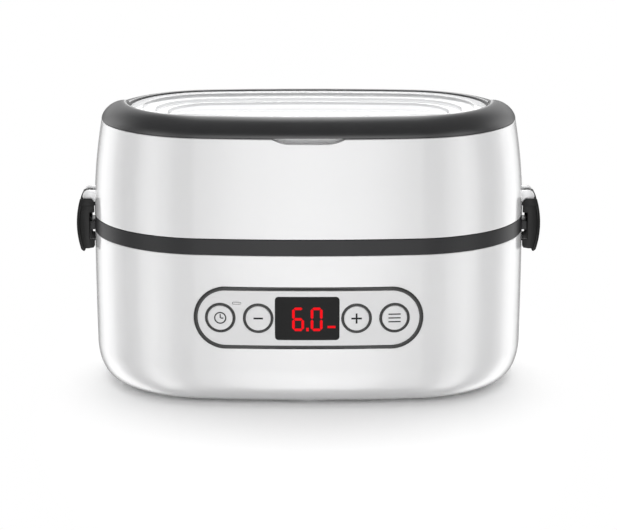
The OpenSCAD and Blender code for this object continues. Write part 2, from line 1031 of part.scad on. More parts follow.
module lid_seals() {
    color("gainsboro")
    for (top = [lower_top, upper_top])
        oval_ring(bowl_inset + bowl_t + 0.6, bowl_inset + bowl_t + 2.8, top - 2.5, top - skin);
}

// A perforated plate that carries the upper bowl over the lower one
module steam_rack() {
    hole_r = 4;
    pitch = 18;
    count = floor((end_c + 10) / pitch);
    color("silver")
    difference() {
        oval_plate(pan_flange_in + 0.6, rack_z, rack_z + rack_t);
        for (i = [-count:count], row = [-1:1])
            translate([i * pitch, row * pitch, rack_z - 1])
                cylinder(r = hole_r, h = rack_t + 2);
    }
}

// ---- Cover ----

// The places of the screws that hold the rear trim, and its hollow
trim_screw_xs = [-42, 0, 42];
hollow_from = 12;
pillar_r = 3;
knuckle_face = 0.4;
hollow_out = ring_out + 4;
hollow_in = crest_in - 0.3;
hollow_h = 4.6;
trim_hollow_h = trim_h - 3.4;

module ear(side) {
    root = -1.8;
    translate([half_w, side > 0 ? ear_half : -tongue_half - ear_in, 0])
        rotate([90, 0, 0])
            linear_extrude(height = ear_half - tongue_half - ear_in)
                polygon(concat(
                    [[root, latch_z - ear_r]],
                    arc(latch_out, latch_z, ear_r, -90, 90, 14),
                    [[root, latch_z + ear_r]]
                ));
}

module finger_notch() {
    slope_w = 6.25;
    flat_w = notch_w - 2 * slope_w;
    deep = 6;
    translate([0, deep - half_d + cover_draft, z_deck])
        rotate([90, 0, 0])
            linear_extrude(height = 20)
                polygon([
                    [-notch_w / 2, 1], [-notch_w / 2, 0], [-flat_w / 2, -notch_h],
                    [flat_w / 2, -notch_h], [notch_w / 2, 0], [notch_w / 2, 1]
                ]);
}

module cover_shell() {
    inner_z = z_deck - deck_t;
    color("white")
    difference() {
        union() {
            oval_sweep(concat(
                cover_wall(0, z_deck),
                [[deck_in, z_deck], [deck_in, inner_z]],
                reversed(cover_wall(wall, inner_z))
            ));
            for (turn = [0, 180])
                rotate([0, 0, turn]) {
                    ear(-1);
                    ear(1);
                    translate([lug_x, turn == 0 ? knuckle_y : -knuckle_y, 0]) {
                        box_at(lug_w / 2, 0, z_deck - 1, lug_w, lug_neck, knuckle_z - z_deck + 1);
                        translate([0, 0, knuckle_z])
                            rotate([0, 90, 0])
                                cylinder(r = lug_r, h = lug_w);
                    }
                }
            intersection() {
                oval_ring(cover_draft + wall / 2, cover_draft + 11, inner_z - notch_h, z_deck - 1);
                box_at(0, -half_d, inner_z - notch_h, notch_w + 8, body_d / 2, notch_h + deck_t);
            }
        }
        finger_notch();
        for (turn = [0, 180])
            rotate([0, 0, turn])
                translate([half_w + latch_out, latch_pin_half, latch_z])
                    rotate([90, 0, 0])
                        cylinder(r = latch_pin_r + skin, h = 2 * latch_pin_half);
        for (turn = [0, 180])
            rotate([0, 0, turn])
                translate([lug_x - 1, turn == 0 ? knuckle_y : -knuckle_y, knuckle_z])
                    rotate([0, 90, 0])
                        cylinder(r = handle_pin_r + skin, h = lug_w + 2);
        for (x = trim_screw_xs)
            translate([x, oval_y(x, (hollow_out + hollow_in) / 2), inner_z - 1])
                cylinder(r = screw_r + slack, h = deck_t + 2);
    }
}

module cover_seal() {
    color("lightgray")
    oval_ring(wall + 0.1, wall + 4.6, z_band, z_band + 2.8);
}

module window_seal() {
    color("lightgray")
    oval_ring(window_in + slack, window_in + seal_w, z_deck, window_low);
}

module window() {
    steps = [for (i = [0:3]) [window_in + i * window_step_w, window_top - i * window_step_h]];
    riser = 0.6;
    lead = 1.2;
    color([0.85, 0.9, 0.92, 0.4])
    oval_solid(concat(
        [for (i = [3:-1:1]) each [
            [steps[i][0] - lead, steps[i][1] - window_step_t],
            [steps[i][0] - lead - riser, (i > 1 ? steps[i - 1][1] - window_step_t : window_low)]
        ]],
        [[window_in, window_low], [window_in, window_top - 0.4], [window_in + 0.4, window_top]],
        [for (i = [1:3]) each [
            [steps[i][0], steps[i - 1][1]],
            [steps[i][0] + riser, steps[i][1]]
        ]]
    ));
}

// The bar of the dark ring, over a height
module ring_bar(h) {
    roll = ring_in - crest_in;
    oval_sweep(concat(
        [for (a = [0:7.5:90]) [
            crest_in - (crest_in - ring_out) * pow(cos(a), 2 / ring_full),
            z_ring + h * pow(sin(a), 2 / ring_full)
        ]],
        ellipse(crest_in, z_ring + h - roll, roll, roll, 75, 0, 5),
        [[ring_in, z_ring]]
    ));
}

// The hollow under the bar
module ring_hollow(h) {
    oval_ring(hollow_out, hollow_in, z_ring - 1, z_ring + h);
}

// The part of the ring in front of a place, or behind it
module in_front_of(y) {
    translate([-half_w, y - body_d, z_deck - 1])
        cube([body_w, body_d, 3 * handle_h]);
}

module behind(y) {
    translate([-half_w, y, z_deck - 1])
        cube([body_w, body_d, 3 * handle_h]);
}

// A round bar along the handle's hinge axis, at one end of the handle
module hinge_bar(side, r, from, to) {
    translate([side > 0 ? from : -to, knuckle_y, knuckle_z])
        rotate([0, 90, 0])
            cylinder(r = r, h = to - from);
}

module rear_trim() {
    color("dimgray")
    difference() {
        intersection() {
            ring_bar(trim_h);
            behind(knuckle_y);
        }
        difference() {
            intersection() {
                ring_hollow(trim_hollow_h);
                behind(hollow_from);
            }
            for (x = trim_screw_xs)
                translate([x, oval_y(x, (hollow_out + hollow_in) / 2), z_deck])
                    cylinder(r = pillar_r, h = trim_h);
        }
        for (side = [-1, 1])
            hinge_bar(side, seat_r, half_w - ring_in - 1, half_w);
        for (x = trim_screw_xs)
            translate([x, oval_y(x, (hollow_out + hollow_in) / 2), z_deck])
                cylinder(r = screw_r + skin, h = trim_h - 2.5);
    }
}

module trim_screws() {
    color("silver")
    for (x = trim_screw_xs)
        translate([x, oval_y(x, (hollow_out + hollow_in) / 2), z_deck - deck_t]) {
            translate([0, 0, -1.5])
                cylinder(r = screw_head_r, h = 1.5);
            cylinder(r = screw_r, h = deck_t + trim_h - 3.5);
        }
}

module handle() {
    color("dimgray")
    difference() {
        intersection() {
            ring_bar(handle_h);
            union() {
                in_front_of(knuckle_y);
                for (side = [-1, 1])
                    hinge_bar(side, knuckle_r, half_w - ring_in - 1, half_w);
            }
        }
        intersection() {
            ring_hollow(hollow_h);
            in_front_of(-hollow_from - 2);
        }
        for (side = [-1, 1]) {
            translate([side > 0 ? 0 : -lug_w, 0, 0])
                translate([side * lug_x - lug_gap, knuckle_y - slot_rise, z_deck - 1])
                    cube([lug_w + 2 * lug_gap, 4 * slot_rise, knuckle_z + slot_rise - z_deck + 1]);
            hinge_bar(side, handle_pin_r + skin, half_w - ring_in - 1, handle_pin_x1 + slack);
            translate([side * (half_w - ring_in) - knuckle_face, knuckle_y - 6, z_deck - 1])
                cube([2 * knuckle_face, 12, 2 * handle_h]);
        }
    }
}

module handle_pins() {
    color("silver")
    for (side = [-1, 1])
        hinge_bar(side, handle_pin_r, handle_pin_x0, handle_pin_x1);
}

// ---- Latches ----

// Points down a latch's outer face, some way in from it
function latch_bow(inset, high, low, steps) = [
    for (i = [0:steps])
        let (z = high + (low - high) * i / steps)
            [latch_bulge - bow_r + sqrt(pow(bow_r - inset, 2) - pow(z - bow_z, 2)), z]
];

// A flat shape drawn across a latch, as thick as it is far from one side to the other
module across_latch(from, to) {
    translate([half_w, to, 0])
        rotate([90, 0, 0])
            linear_extrude(height = to - from)
                children();
}

module latch_plate() {
    tip = latch_z - latch_len;
    polygon(concat(
        latch_bow(0, shoulder_z, tip + lip_round, 12),
        [[latch_bow(0, tip, tip, 1)[0][0] - lip_round, tip]],
        latch_bow(latch_t, tip + lip_round, shoulder_z, 12)
    ));
}

module latch_cheek() {
    foot_w = 3;
    foot_rise = 1.6;
    polygon(concat(
        latch_bow(latch_t / 2, shoulder_z, cheek_low, 10),
        [
            [cheek_in + foot_w, cheek_low], [cheek_in, cheek_low + foot_rise],
            [cheek_in, cheek_notch_low], [cheek_in + cheek_notch_w, cheek_notch_low],
            [cheek_in + cheek_notch_w, cheek_notch_high], [cheek_in, cheek_notch_high],
            [cheek_in, shoulder_z]
        ]
    ));
}

// The upper end of a cheek, beside the ears
module latch_cheek_end() {
    corner_w = 1.3;
    corner_h = 1.9;
    low = shoulder_z - 1;
    polygon(concat(
        latch_bow(0, cheek_top, low, 4),
        [[cheek_in, low], [cheek_in, cheek_top - corner_h], [cheek_in + corner_w, cheek_top]]
    ));
}

// The tongue between the ears: an eye around the pin, a small crest, and an arm that
// runs down into the plate. The places are measured from the pin
module latch_tongue() {
    crest = [[2.5, 0.4], [2.4, 1.5], [2.85, 1.85], [3.5, 1.1], [4.05, -0.1], [4.4, -1.2]];
    arm = [[5, -4], [5.1, -7.5], [3.8, -8.5], [2.4, -8.5], [-0.2, -4.5], [-1.4, -1.5]];
    translate([latch_out, latch_z]) {
        circle(r = tongue_r);
        polygon(concat([[0, 0]], crest, arm));
    }
}

module latch() {
    color([0.15, 0.15, 0.15])
    difference() {
        union() {
            across_latch(-latch_w / 2, latch_w / 2)
                latch_plate();
            for (side = [0, 1])
                across_latch(
                    side * (latch_w - cheek_t) - latch_w / 2,
                    side * (latch_w - cheek_t) - latch_w / 2 + cheek_t
                )
                    latch_cheek();
            for (side = [0, 1])
                across_latch(
                    side * (latch_w - cheek_t - cheek_step) - latch_w / 2 + cheek_step,
                    side * (latch_w - cheek_t - cheek_step) - latch_w / 2 + cheek_t
                )
                    latch_cheek_end();
            across_latch(-hook_half, hook_half)
                polygon([
                    [catch_out - hook_bite, hook_z], [catch_out + hook_back, hook_z],
                    [catch_out + hook_back, hook_z - hook_h - hook_wedge],
                    [catch_out - hook_bite + hook_lean, hook_z - hook_h]
                ]);
            across_latch(-tongue_half, tongue_half)
                latch_tongue();
        }
        translate([half_w + latch_out, tongue_half + 1, latch_z])
            rotate([90, 0, 0])
                cylinder(r = latch_pin_r + skin, h = 2 * tongue_half + 2);
    }
}

module latch_right() {
    latch();
}

module latch_left() {
    rotate([0, 0, 180])
        latch();
}

module latch_pins() {
    color("silver")
    for (side = [-1, 1])
        translate([side * (half_w + latch_out), latch_pin_half - slack, latch_z])
            rotate([90, 0, 0])
                cylinder(r = latch_pin_r, h = 2 * (latch_pin_half - slack));
}

base_shell();
bottom_plate();
feet();
plate_screws();
band_ring();
band_seal();
heating_pan();
heater_plate();
heating_tube();
heat_shield();
thermostat();
thermal_fuse();
temperature_sensor();
power_board();
board_screws();
transformer();
relay();
capacitors();
terminal_block();
power_inlet();
inlet_pins();
inlet_leads();
heater_leads();
ribbon_cable();
control_board();
control_chip();
tact_switches();
led_display();
display_window();
panel_face();
panel_trim();
key_rings();
indicator_lens();
timer_key();
minus_key();
plus_key();
menu_key();
lower_bowl();
lower_lid();
lid_seals();
steam_rack();
upper_bowl();
upper_lid();
cover_shell();
cover_seal();
window_seal();
window();
rear_trim();
trim_screws();
handle_pins();
latch_pins();
handle();
latch_left();
latch_right();
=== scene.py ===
"""Looks for the electric lunch box. Lengths are millimetres, and metres in the studio."""

import json
import math

import bmesh
import bpy
import numpy as np
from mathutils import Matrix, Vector


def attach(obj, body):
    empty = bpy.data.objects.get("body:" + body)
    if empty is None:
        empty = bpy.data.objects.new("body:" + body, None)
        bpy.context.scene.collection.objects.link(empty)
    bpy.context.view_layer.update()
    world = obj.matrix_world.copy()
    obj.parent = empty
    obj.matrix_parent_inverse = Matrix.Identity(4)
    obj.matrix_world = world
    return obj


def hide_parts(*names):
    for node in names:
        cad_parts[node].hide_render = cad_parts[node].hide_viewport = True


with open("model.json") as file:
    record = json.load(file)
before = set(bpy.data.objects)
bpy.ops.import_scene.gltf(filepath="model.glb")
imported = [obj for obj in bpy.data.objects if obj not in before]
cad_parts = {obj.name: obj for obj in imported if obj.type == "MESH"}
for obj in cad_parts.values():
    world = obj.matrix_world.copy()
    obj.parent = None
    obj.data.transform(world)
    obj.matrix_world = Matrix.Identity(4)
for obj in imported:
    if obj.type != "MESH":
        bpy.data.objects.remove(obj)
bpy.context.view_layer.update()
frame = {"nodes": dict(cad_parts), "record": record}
nodes = frame["nodes"]
MM = 0.001

# ---- The part's own sizes ----

# The oval from above: an end of radius END_R about (END_C, 0) meets a flatter arc of radius FRONT_R
# about (0, -FRONT_C) at the angle END_A. The flatter arc swells by BOW beyond the ends.
HALF_W, HALF_D, BOW = 120.0, 70.0, 2.8
END_R = HALF_D - BOW
END_C = HALF_W - END_R
FRONT_R = round((END_C ** 2 + HALF_D ** 2 - END_R ** 2) / (2 * BOW), 2)
END_A = math.acos(END_C / (FRONT_R - END_R))
FRONT_C = END_C * math.tan(END_A)

# Heights of the base's underside and rim, the band's top, the cover's deck and the ring's underside
Z_UNDER, Z_RIM, Z_BAND, Z_DECK, Z_RING = 2.0, 85.4, 94.2, 148.1, 148.5
WALL = 2.6
BASE_LEAN, COVER_LEAN = 0.8, 4.8
# Between a piece and the opening that it sits in
GAP = 0.05

# The dark ring: insets of its edges and its crest, heights of its two pieces, how full it is
RING_OUT, RING_IN, CREST_IN = 4.8, 20.3, 17.5
HANDLE_H, TRIM_H, RING_FULL = 9.5, 6.3, 1.6
# The handle's hinge: its axis, the round end, the trim's seat for it, the cover's lug and the pin
KNUCKLE_Y, KNUCKLE_Z, KNUCKLE_R, SEAT_R = -2.1, 153.3, 5.0, 5.3
LUG_X, LUG_W, LUG_R, LUG_NECK = 103.5, 3.0, 2.9, 4.2
HINGE_X, PIN_R, PIN_END = 98.7, 1.3, 109.5

# The latch's axis, above the floor and out from the oval's end, the radius of the ears, the width
LATCH_Z, LATCH_OUT, EAR_R, LATCH_W = 104.5, 3.2, 3.1, 19.5

# The control panel. Depths on it run inward from the front of the oval.
PANEL_Z, PANEL_W, PANEL_H, PANEL_RIM = 50.9, 124.0, 34.6, 2.1
PANEL_BACK, FACE_DEPTH, SIGN_DEPTH, DIGIT_DEPTH, INK_THICK = 2.4, -0.15, -0.6, -0.2, 0.1
KEY_XS = (-47.6, -27.1, 25.9, 46.4)
KEY_R, KEY_RING_R, KEY_RING_W = 6.75, 8.25, 1.35
DISPLAY_X, DISPLAY_W, DISPLAY_H, DISPLAY_CORNER = -0.7, 34.8, 24.1, 2
LENS_X, LENS_Z = -38.7, PANEL_Z + 8.2

# The power inlet at the back: its body, and its flange from FLANGE_Y on
INLET_Z, INLET_W, INLET_H = 22.5, 27.5, 19.8
FLANGE_Y, FLANGE_W, FLANGE_H = 68.45, 32.5, 24.8

# Where a cutter ends in the open: past the part's ends, its front and back, and around the ring
PAST_X, PAST_Y = 130.0, 90.0
UNDER_RING, OVER_RING = 140.0, 165.0


# ---- Mesh tools ----

def stations(end_steps=76, front_steps=30):
    """The oval as (centre x, centre y, radius, direction x, direction y), one per station."""
    out = []
    for side in (0, 1):
        for i in range(end_steps):
            t = -END_A + 2 * END_A * i / end_steps + math.pi * side
            out.append((END_C * (1 - 2 * side), 0.0, END_R, math.cos(t), math.sin(t)))
        for i in range(front_steps):
            t = END_A + (math.pi - 2 * END_A) * i / front_steps + math.pi * side
            out.append((0.0, -FRONT_C * (1 - 2 * side), FRONT_R, math.cos(t), math.sin(t)))
    return out


STATIONS = stations()


def oval_y(x, inset):
    """How far back the front or the rear of the oval lies at x, as a positive number."""
    return math.sqrt((FRONT_R - inset) ** 2 - x * x) - FRONT_C


def frame_at(p):
    """How far in a point lies from the oval, and the outward direction there."""
    ax, ay = abs(p[0]), abs(p[1])
    if math.atan2(ay, ax - END_C) <= END_A:
        cx, cy, r = END_C, 0.0, END_R
    else:
        cx, cy, r = 0.0, -FRONT_C, FRONT_R
    dx, dy = ax - cx, ay - cy
    d = math.hypot(dx, dy)
    return r - d, math.copysign(dx / d, p[0]), math.copysign(dy / d, p[1])


def link(name, bm):
    mesh = bpy.data.meshes.new(name)
    bmesh.ops.recalc_face_normals(bm, faces=bm.faces)
    bm.to_mesh(mesh)
    bm.free()
    obj = bpy.data.objects.new(name, mesh)
    bpy.context.scene.collection.objects.link(obj)
    return obj


def walls(bm, rings, looped):
    """Faces from each ring of corners to the next: back to the first one, or with capped ends."""
    for a, b in zip(rings, rings[1:] + (rings[:1] if looped else [])):
        for k in range(len(a)):
            m = (k + 1) % len(a)
            bm.faces.new((a[k], a[m], b[m], b[k]))
    if not looped:
        bm.faces.new(rings[0])
        bm.faces.new(rings[-1])


def sweep(name, outline, closed=True):
    """A (inset, height) outline swept around the oval. An open one is capped at both ends."""
    bm = bmesh.new()
    rings = []
    for inset, z in outline:
        rings.append([
            bm.verts.new(Vector((cx + (r - inset) * nx, cy + (r - inset) * ny, z)) * MM)
            for cx, cy, r, nx, ny in STATIONS
        ])
    walls(bm, rings, closed)
    return link(name, bm)


def prism(name, points, low, high, axis="y"):
    """A flat outline pushed along an axis. The outline is (x, z), (y, z) or (x, y)."""
    def place(p, d):
        if axis == "y":
            return Vector((p[0], d, p[1])) * MM
        if axis == "x":
            return Vector((d, p[0], p[1])) * MM
        return Vector((p[0], p[1], d)) * MM
    bm = bmesh.new()
    a = [bm.verts.new(place(p, low)) for p in points]
    b = [bm.verts.new(place(p, high)) for p in points]
    bm.faces.new(a)
    bm.faces.new(b)
    for i in range(len(points)):
        j = (i + 1) % len(points)
        bm.faces.new((a[i], a[j], b[j], b[i]))
    return link(name, bm)


def arc(x, y, r, start, stop, steps):
    return [
        (x + r * math.cos(math.radians(start + (stop - start) * i / steps)),
         y + r * math.sin(math.radians(start + (stop - start) * i / steps)))
        for i in range(steps + 1)
    ]


def circle(x, z, r, steps=56):
    return arc(x, z, r, 0, 360 - 360 / steps, steps - 1)


def stadium(w, h, steps=32):
    x, r = w / 2 - h / 2, h / 2
    return arc(x, 0, r, -90, 90, steps) + arc(-x, 0, r, 90, 270, steps)


def rounded(w, h, r, steps=8):
    out = []
    for sx, sy, a in ((1, 1, 0), (-1, 1, 90), (-1, -1, 180), (1, -1, 270)):
        out += arc(sx * (w / 2 - r), sy * (h / 2 - r), r, a, a + 90, steps)
    return out


def bar(x, z, w, h):
    x0, x1, z0, z1 = x - w / 2, x + w / 2, z - h / 2, z + h / 2
    return [(x0, z0), (x1, z0), (x1, z1), (x0, z1)]


def moved(points, dx, dy):
    return [(p[0] + dx, p[1] + dy) for p in points]


def rod(name, axis, centre, r, low, high, steps=48):
    return prism(name, circle(*centre, r, steps), low, high, axis)


def block(name, x0, x1, y0, y1, z0, z1):
    return prism(name, [(x0, z0), (x1, z0), (x1, z1), (x0, z1)], y0, y1)


def centred(name, w, h, z, y0, y1):
    """A block centred on x = 0 and on a height."""
    return block(name, -w / 2, w / 2, y0, y1, z - h / 2, z + h / 2)


def boolean(obj, cutter, operation="DIFFERENCE"):
    mod = obj.modifiers.new("cut", "BOOLEAN")
    mod.operation = operation
    mod.solver = "EXACT"
    mod.object = cutter
    apply(obj)
    bpy.data.objects.remove(cutter)
    return obj


def apply(obj):
    graph = bpy.context.evaluated_depsgraph_get()
    mesh = bpy.data.meshes.new_from_object(obj.evaluated_get(graph))
    obj.modifiers.clear()
    obj.data = mesh
    return obj


def bevel(obj, width, segments=2, angle=35):
    mod = obj.modifiers.new("bevel", "BEVEL")
    mod.width = width * MM
    mod.segments = segments
    mod.limit_method = "ANGLE"
    mod.angle_limit = math.radians(angle)
    return apply(obj)


def smooth(obj, angle=32):
    mesh = obj.data
    mesh.polygons.foreach_set("use_smooth", [True] * len(mesh.polygons))
    mesh.set_sharp_from_angle(angle=math.radians(angle))
    return obj


def shade_swept(obj, outline, closed=True, angle=32):
    """Gives every corner on the swept outline the true normal of the smooth surface."""
    # A corner belongs to a side that lies this near to it and faces as its face does
    near, alike = 0.03, 0.93
    # A face whose normal is shorter than this in the outline's plane is a cut across the sweep
    in_plane = 0.7
    smooth(obj, angle)
    mesh = obj.data
    pts = np.array([(-p[0], p[1]) for p in outline], float)
    a = pts if closed else pts[:-1]
    b = np.roll(pts, -1, axis=0) if closed else pts[1:]
    d = b - a
    length = np.hypot(d[:, 0], d[:, 1])
    keep = length > 1e-6
    a, d, length = a[keep], d[keep], length[keep]
    n = np.stack([d[:, 1], -d[:, 0]], 1) / length[:, None]
    count = len(a)
    start, end = n.copy(), n.copy()
    limit = math.cos(math.radians(angle))
    for i in range(count):
        j = (i + 1) % count
        if not closed and j == 0:
            continue
        if n[i] @ n[j] > limit:
            # The longer side counts for more, so that the shorter one does the bending
            w = n[i] * length[i] + n[j] * length[j]
            w /= np.hypot(*w)
            end[i], start[j] = w, w
    corner = np.zeros(len(mesh.loops) * 3)
    mesh.corner_normals.foreach_get("vector", corner)
    corner = corner.reshape(-1, 3)
    co = np.zeros(len(mesh.vertices) * 3)
    mesh.vertices.foreach_get("co", co)
    co = co.reshape(-1, 3) / MM
    frames = [frame_at(c) for c in co]
    for poly in mesh.polygons:
        pn = poly.normal
        for li in poly.loop_indices:
            v = mesh.loops[li].vertex_index
            inset, nx, ny = frames[v]
            p = np.array((-inset, co[v][2]))
            local = np.array((pn.x * nx + pn.y * ny, pn.z))
            size = np.hypot(*local)
            if size < in_plane:
                continue
            rel = p - a
            t = np.clip((rel * d).sum(1) / length ** 2, 0, 1)
            gap = np.hypot(*(rel - t[:, None] * d).T)
            facing = n @ (local / size)
            score = np.where((gap < near) & (np.abs(facing) > alike), np.abs(facing), 0)
            k = int(score.argmax())
            if score[k] == 0:
                continue
            m = start[k] * (1 - t[k]) + end[k] * t[k]
            m = m / np.hypot(*m) * (1 if facing[k] > 0 else -1)
            corner[li] = (m[0] * nx, m[0] * ny, m[1])
    mesh.normals_split_custom_set([tuple(c) for c in corner])
    return obj


def join(name, objs):
    """One object from several closed pieces."""
    bm = bmesh.new()
    for o in objs:
        bm.from_mesh(o.data)
    mesh = bpy.data.meshes.new(name)
    bm.to_mesh(mesh)
    bm.free()
    for o in objs:
        bpy.data.objects.remove(o)
    obj = bpy.data.objects.new(name, mesh)
    bpy.context.scene.collection.objects.link(obj)
    return obj


def join_shaded(name, objs):
    """Joins pieces and keeps each one's own normals."""
    normals = []
    for o in objs:
        c = np.zeros(len(o.data.loops) * 3)
        o.data.corner_normals.foreach_get("vector", c)
        normals.append(c.reshape(-1, 3))
    obj = join(name, objs)
    obj.data.polygons.foreach_set("use_smooth", [True] * len(obj.data.polygons))
    obj.data.normals_split_custom_set([tuple(c) for c in np.concatenate(normals)])
    return obj


def add(obj, body, replaced=(), material=None):
    if material:
        obj.data.materials.clear()
        obj.data.materials.append(material)
    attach(obj, body)
    if replaced:
        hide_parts(*replaced)
    return obj


# ---- Materials ----

def material(name, color, rough=0.4, metallic=0.0, vary=0.02, rough_vary=0.06, scale=60.0,
             bump=0.02, bump_scale=900.0, coat=0.0, coat_rough=0.05, spec=0.5, stretch=(1, 1, 1),
             emission=None, strength=0.0, alpha=1.0):
    """A principled surface with slight variation of colour and gloss, and a fine moulded grain."""
    mat = bpy.data.materials.new(name)
    mat.use_nodes = True
    tree = mat.node_tree
    shader = tree.nodes["Principled BSDF"]
    coords = tree.nodes.new("ShaderNodeTexCoord")
    mapping = tree.nodes.new("ShaderNodeMapping")
    mapping.inputs["Scale"].default_value = stretch
    tree.links.new(coords.outputs["Object"], mapping.inputs["Vector"])
    wide = tree.nodes.new("ShaderNodeTexNoise")
    wide.inputs["Scale"].default_value = scale
    wide.inputs["Detail"].default_value = 3
    tree.links.new(mapping.outputs["Vector"], wide.inputs["Vector"])
    tint = tree.nodes.new("ShaderNodeMix")
    tint.data_type = "RGBA"
    low = [max(0.0, c * (1 - vary)) for c in color]
    high = [min(1.0, c * (1 + vary)) for c in color]
    tint.inputs["A"].default_value = (*low, 1)
    tint.inputs["B"].default_value = (*high, 1)
    tree.links.new(wide.outputs["Fac"], tint.inputs["Factor"])
    tree.links.new(tint.outputs["Result"], shader.inputs["Base Color"])
    gloss = tree.nodes.new("ShaderNodeMapRange")
    gloss.inputs["To Min"].default_value = max(0.02, rough - rough_vary)
    gloss.inputs["To Max"].default_value = min(1.0, rough + rough_vary)
    tree.links.new(wide.outputs["Fac"], gloss.inputs["Value"])
    tree.links.new(gloss.outputs["Result"], shader.inputs["Roughness"])
    if bump > 0:
        fine = tree.nodes.new("ShaderNodeTexNoise")
        fine.inputs["Scale"].default_value = bump_scale
        fine.inputs["Detail"].default_value = 2
        tree.links.new(mapping.outputs["Vector"], fine.inputs["Vector"])
        relief = tree.nodes.new("ShaderNodeBump")
        relief.inputs["Strength"].default_value = bump
        relief.inputs["Distance"].default_value = 0.0005
        tree.links.new(fine.outputs["Fac"], relief.inputs["Height"])
        tree.links.new(relief.outputs["Normal"], shader.inputs["Normal"])
    shader.inputs["Metallic"].default_value = metallic
    shader.inputs["Specular IOR Level"].default_value = spec
    shader.inputs["Coat Weight"].default_value = coat
    shader.inputs["Coat Roughness"].default_value = coat_rough
    shader.inputs["Alpha"].default_value = alpha
    if emission:
        shader.inputs["Emission Color"].default_value = (*emission, 1)
        shader.inputs["Emission Strength"].default_value = strength
    return mat


WHITE = material("gloss_white", (0.80, 0.80, 0.805), rough=0.2, rough_vary=0.03, vary=0.008,
                 bump=0.002, bump_scale=400, coat=1.0, coat_rough=0.1)
KEY_WHITE = material("key_white", (0.80, 0.80, 0.805), rough=0.32, rough_vary=0.05, vary=0.01,
                     bump=0.01, bump_scale=1500)
PLATE = material("plate_white", (0.74, 0.74, 0.74), rough=0.55, bump=0.08, bump_scale=1800)
BAND = material("band_grey", (0.014, 0.014, 0.015), rough=0.4, spec=0.22, bump=0.03,
                bump_scale=2200, vary=0.06)
RING = material("ring_grey", (0.022, 0.022, 0.023), rough=0.33, bump=0.03, bump_scale=2200,
                vary=0.06)
LATCH = material("latch_black", (0.008, 0.008, 0.008), rough=0.3, spec=0.12, bump=0.03,
                 bump_scale=2200, vary=0.08)
TRIM = material("trim_grey", (0.02, 0.02, 0.02), rough=0.25, spec=0.25, bump=0.01, vary=0.05)
INK = material("ink_black", (0.006, 0.006, 0.006), rough=0.4, spec=0.1, bump=0.01, vary=0.05)
SCREEN = material("screen_black", (0.008, 0.008, 0.008), rough=0.08, rough_vary=0.02, bump=0.0,
                  vary=0.1, spec=0.06)
GLOW = material("digit_red", (0.3, 0.002, 0.004), rough=0.4, spec=0.04, bump=0.01,
                emission=(1.0, 0.006, 0.012), strength=0.72)
LENS = material("lens_grey", (0.74, 0.74, 0.74), rough=0.3, bump=0.01)
SEAL = material("silicone", (0.88, 0.88, 0.88), rough=0.6, bump=0.05, bump_scale=1500)
FOOT = material("foot_rubber", (0.72, 0.72, 0.71), rough=0.7, bump=0.12, bump_scale=2500)
BOWL = material("bowl_plastic", (0.80, 0.79, 0.76), rough=0.4, bump=0.03, bump_scale=1500)
LID = material("lid_plastic", (0.82, 0.82, 0.825), rough=0.35, bump=0.02, bump_scale=1500)
STEEL = material("brushed_steel", (0.60, 0.60, 0.61), rough=0.3, metallic=1.0, rough_vary=0.1,
                 stretch=(0.04, 1, 1), scale=900, bump=0.04, bump_scale=3500)
SCREW = material("screw_steel", (0.52, 0.52, 0.53), rough=0.35, metallic=1.0, bump=0.05)
CLEAR = material("clear_window", (0.80, 0.805, 0.81), rough=0.06, rough_vary=0.02, bump=0.0,
                 alpha=0.4, vary=0.01)
BLACK = material("black_plastic", (0.015, 0.015, 0.015), rough=0.45, bump=0.08, bump_scale=2200)
BRASS = material("brass", (0.62, 0.47, 0.19), rough=0.3, metallic=1.0, bump=0.03)
ALU = material("cast_aluminium", (0.62, 0.62, 0.63), rough=0.5, metallic=1.0, bump=0.15,
               bump_scale=1200)
BOARD = material("green_board", (0.03, 0.17, 0.08), rough=0.35, bump=0.05, vary=0.15)
GREEN = material("green_plastic", (0.02, 0.25, 0.06), rough=0.5, bump=0.05)
BLUE = material("relay_blue", (0.02, 0.06, 0.36), rough=0.45, bump=0.05)
COPPER = material("winding", (0.55, 0.30, 0.10), rough=0.35, metallic=0.8, bump=0.5,
                  bump_scale=2600, stretch=(0.05, 0.05, 1))
PHENOLIC = material("phenolic", (0.34, 0.22, 0.11), rough=0.6, bump=0.1)
CERAMIC = material("ceramic", (0.78, 0.78, 0.75), rough=0.5, bump=0.05)
RED_WIRE = material("red_lead", (0.35, 0.02, 0.015), rough=0.5, bump=0.05)
BROWN_WIRE = material("brown_lead", (0.16, 0.06, 0.02), rough=0.5, bump=0.05)
RIBBON = material("ribbon_grey", (0.33, 0.33, 0.34), rough=0.5, bump=0.4, bump_scale=1200,
                  stretch=(1, 0.02, 0.02))

SLOT_MATERIALS = {
    "white_shell": WHITE, "white_key": KEY_WHITE, "plate_plastic": PLATE, "band_plastic": BAND,
    "ring_plastic": RING, "latch_plastic": LATCH, "trim_plastic": TRIM, "clear_window": CLEAR,
    "black_window": SCREEN, "lens": LENS, "bowl_plastic": BOWL, "lid_plastic": LID,
    "silicone": SEAL, "foot_rubber": FOOT, "stainless": STEEL, "steel": SCREW,
    "aluminium": ALU, "brass": BRASS, "black_plastic": BLACK, "green_board": BOARD,
    "green_plastic": GREEN, "relay_plastic": BLUE, "winding": COPPER, "phenolic": PHENOLIC,
    "ceramic": CERAMIC, "lead_red": RED_WIRE, "lead_brown": BROWN_WIRE, "ribbon_grey": RIBBON,
}
for entry in frame["record"]["subparts"]:
    shown = nodes[entry["node"]]
    for place in shown.material_slots:
        place.material = SLOT_MATERIALS[entry["material_slot"]]


# ---- Base ----

def base_in(z):
    """How far the base's wall leans in at a height."""
    return BASE_LEAN * ((Z_RIM - z) / (Z_RIM - Z_UNDER)) ** 2


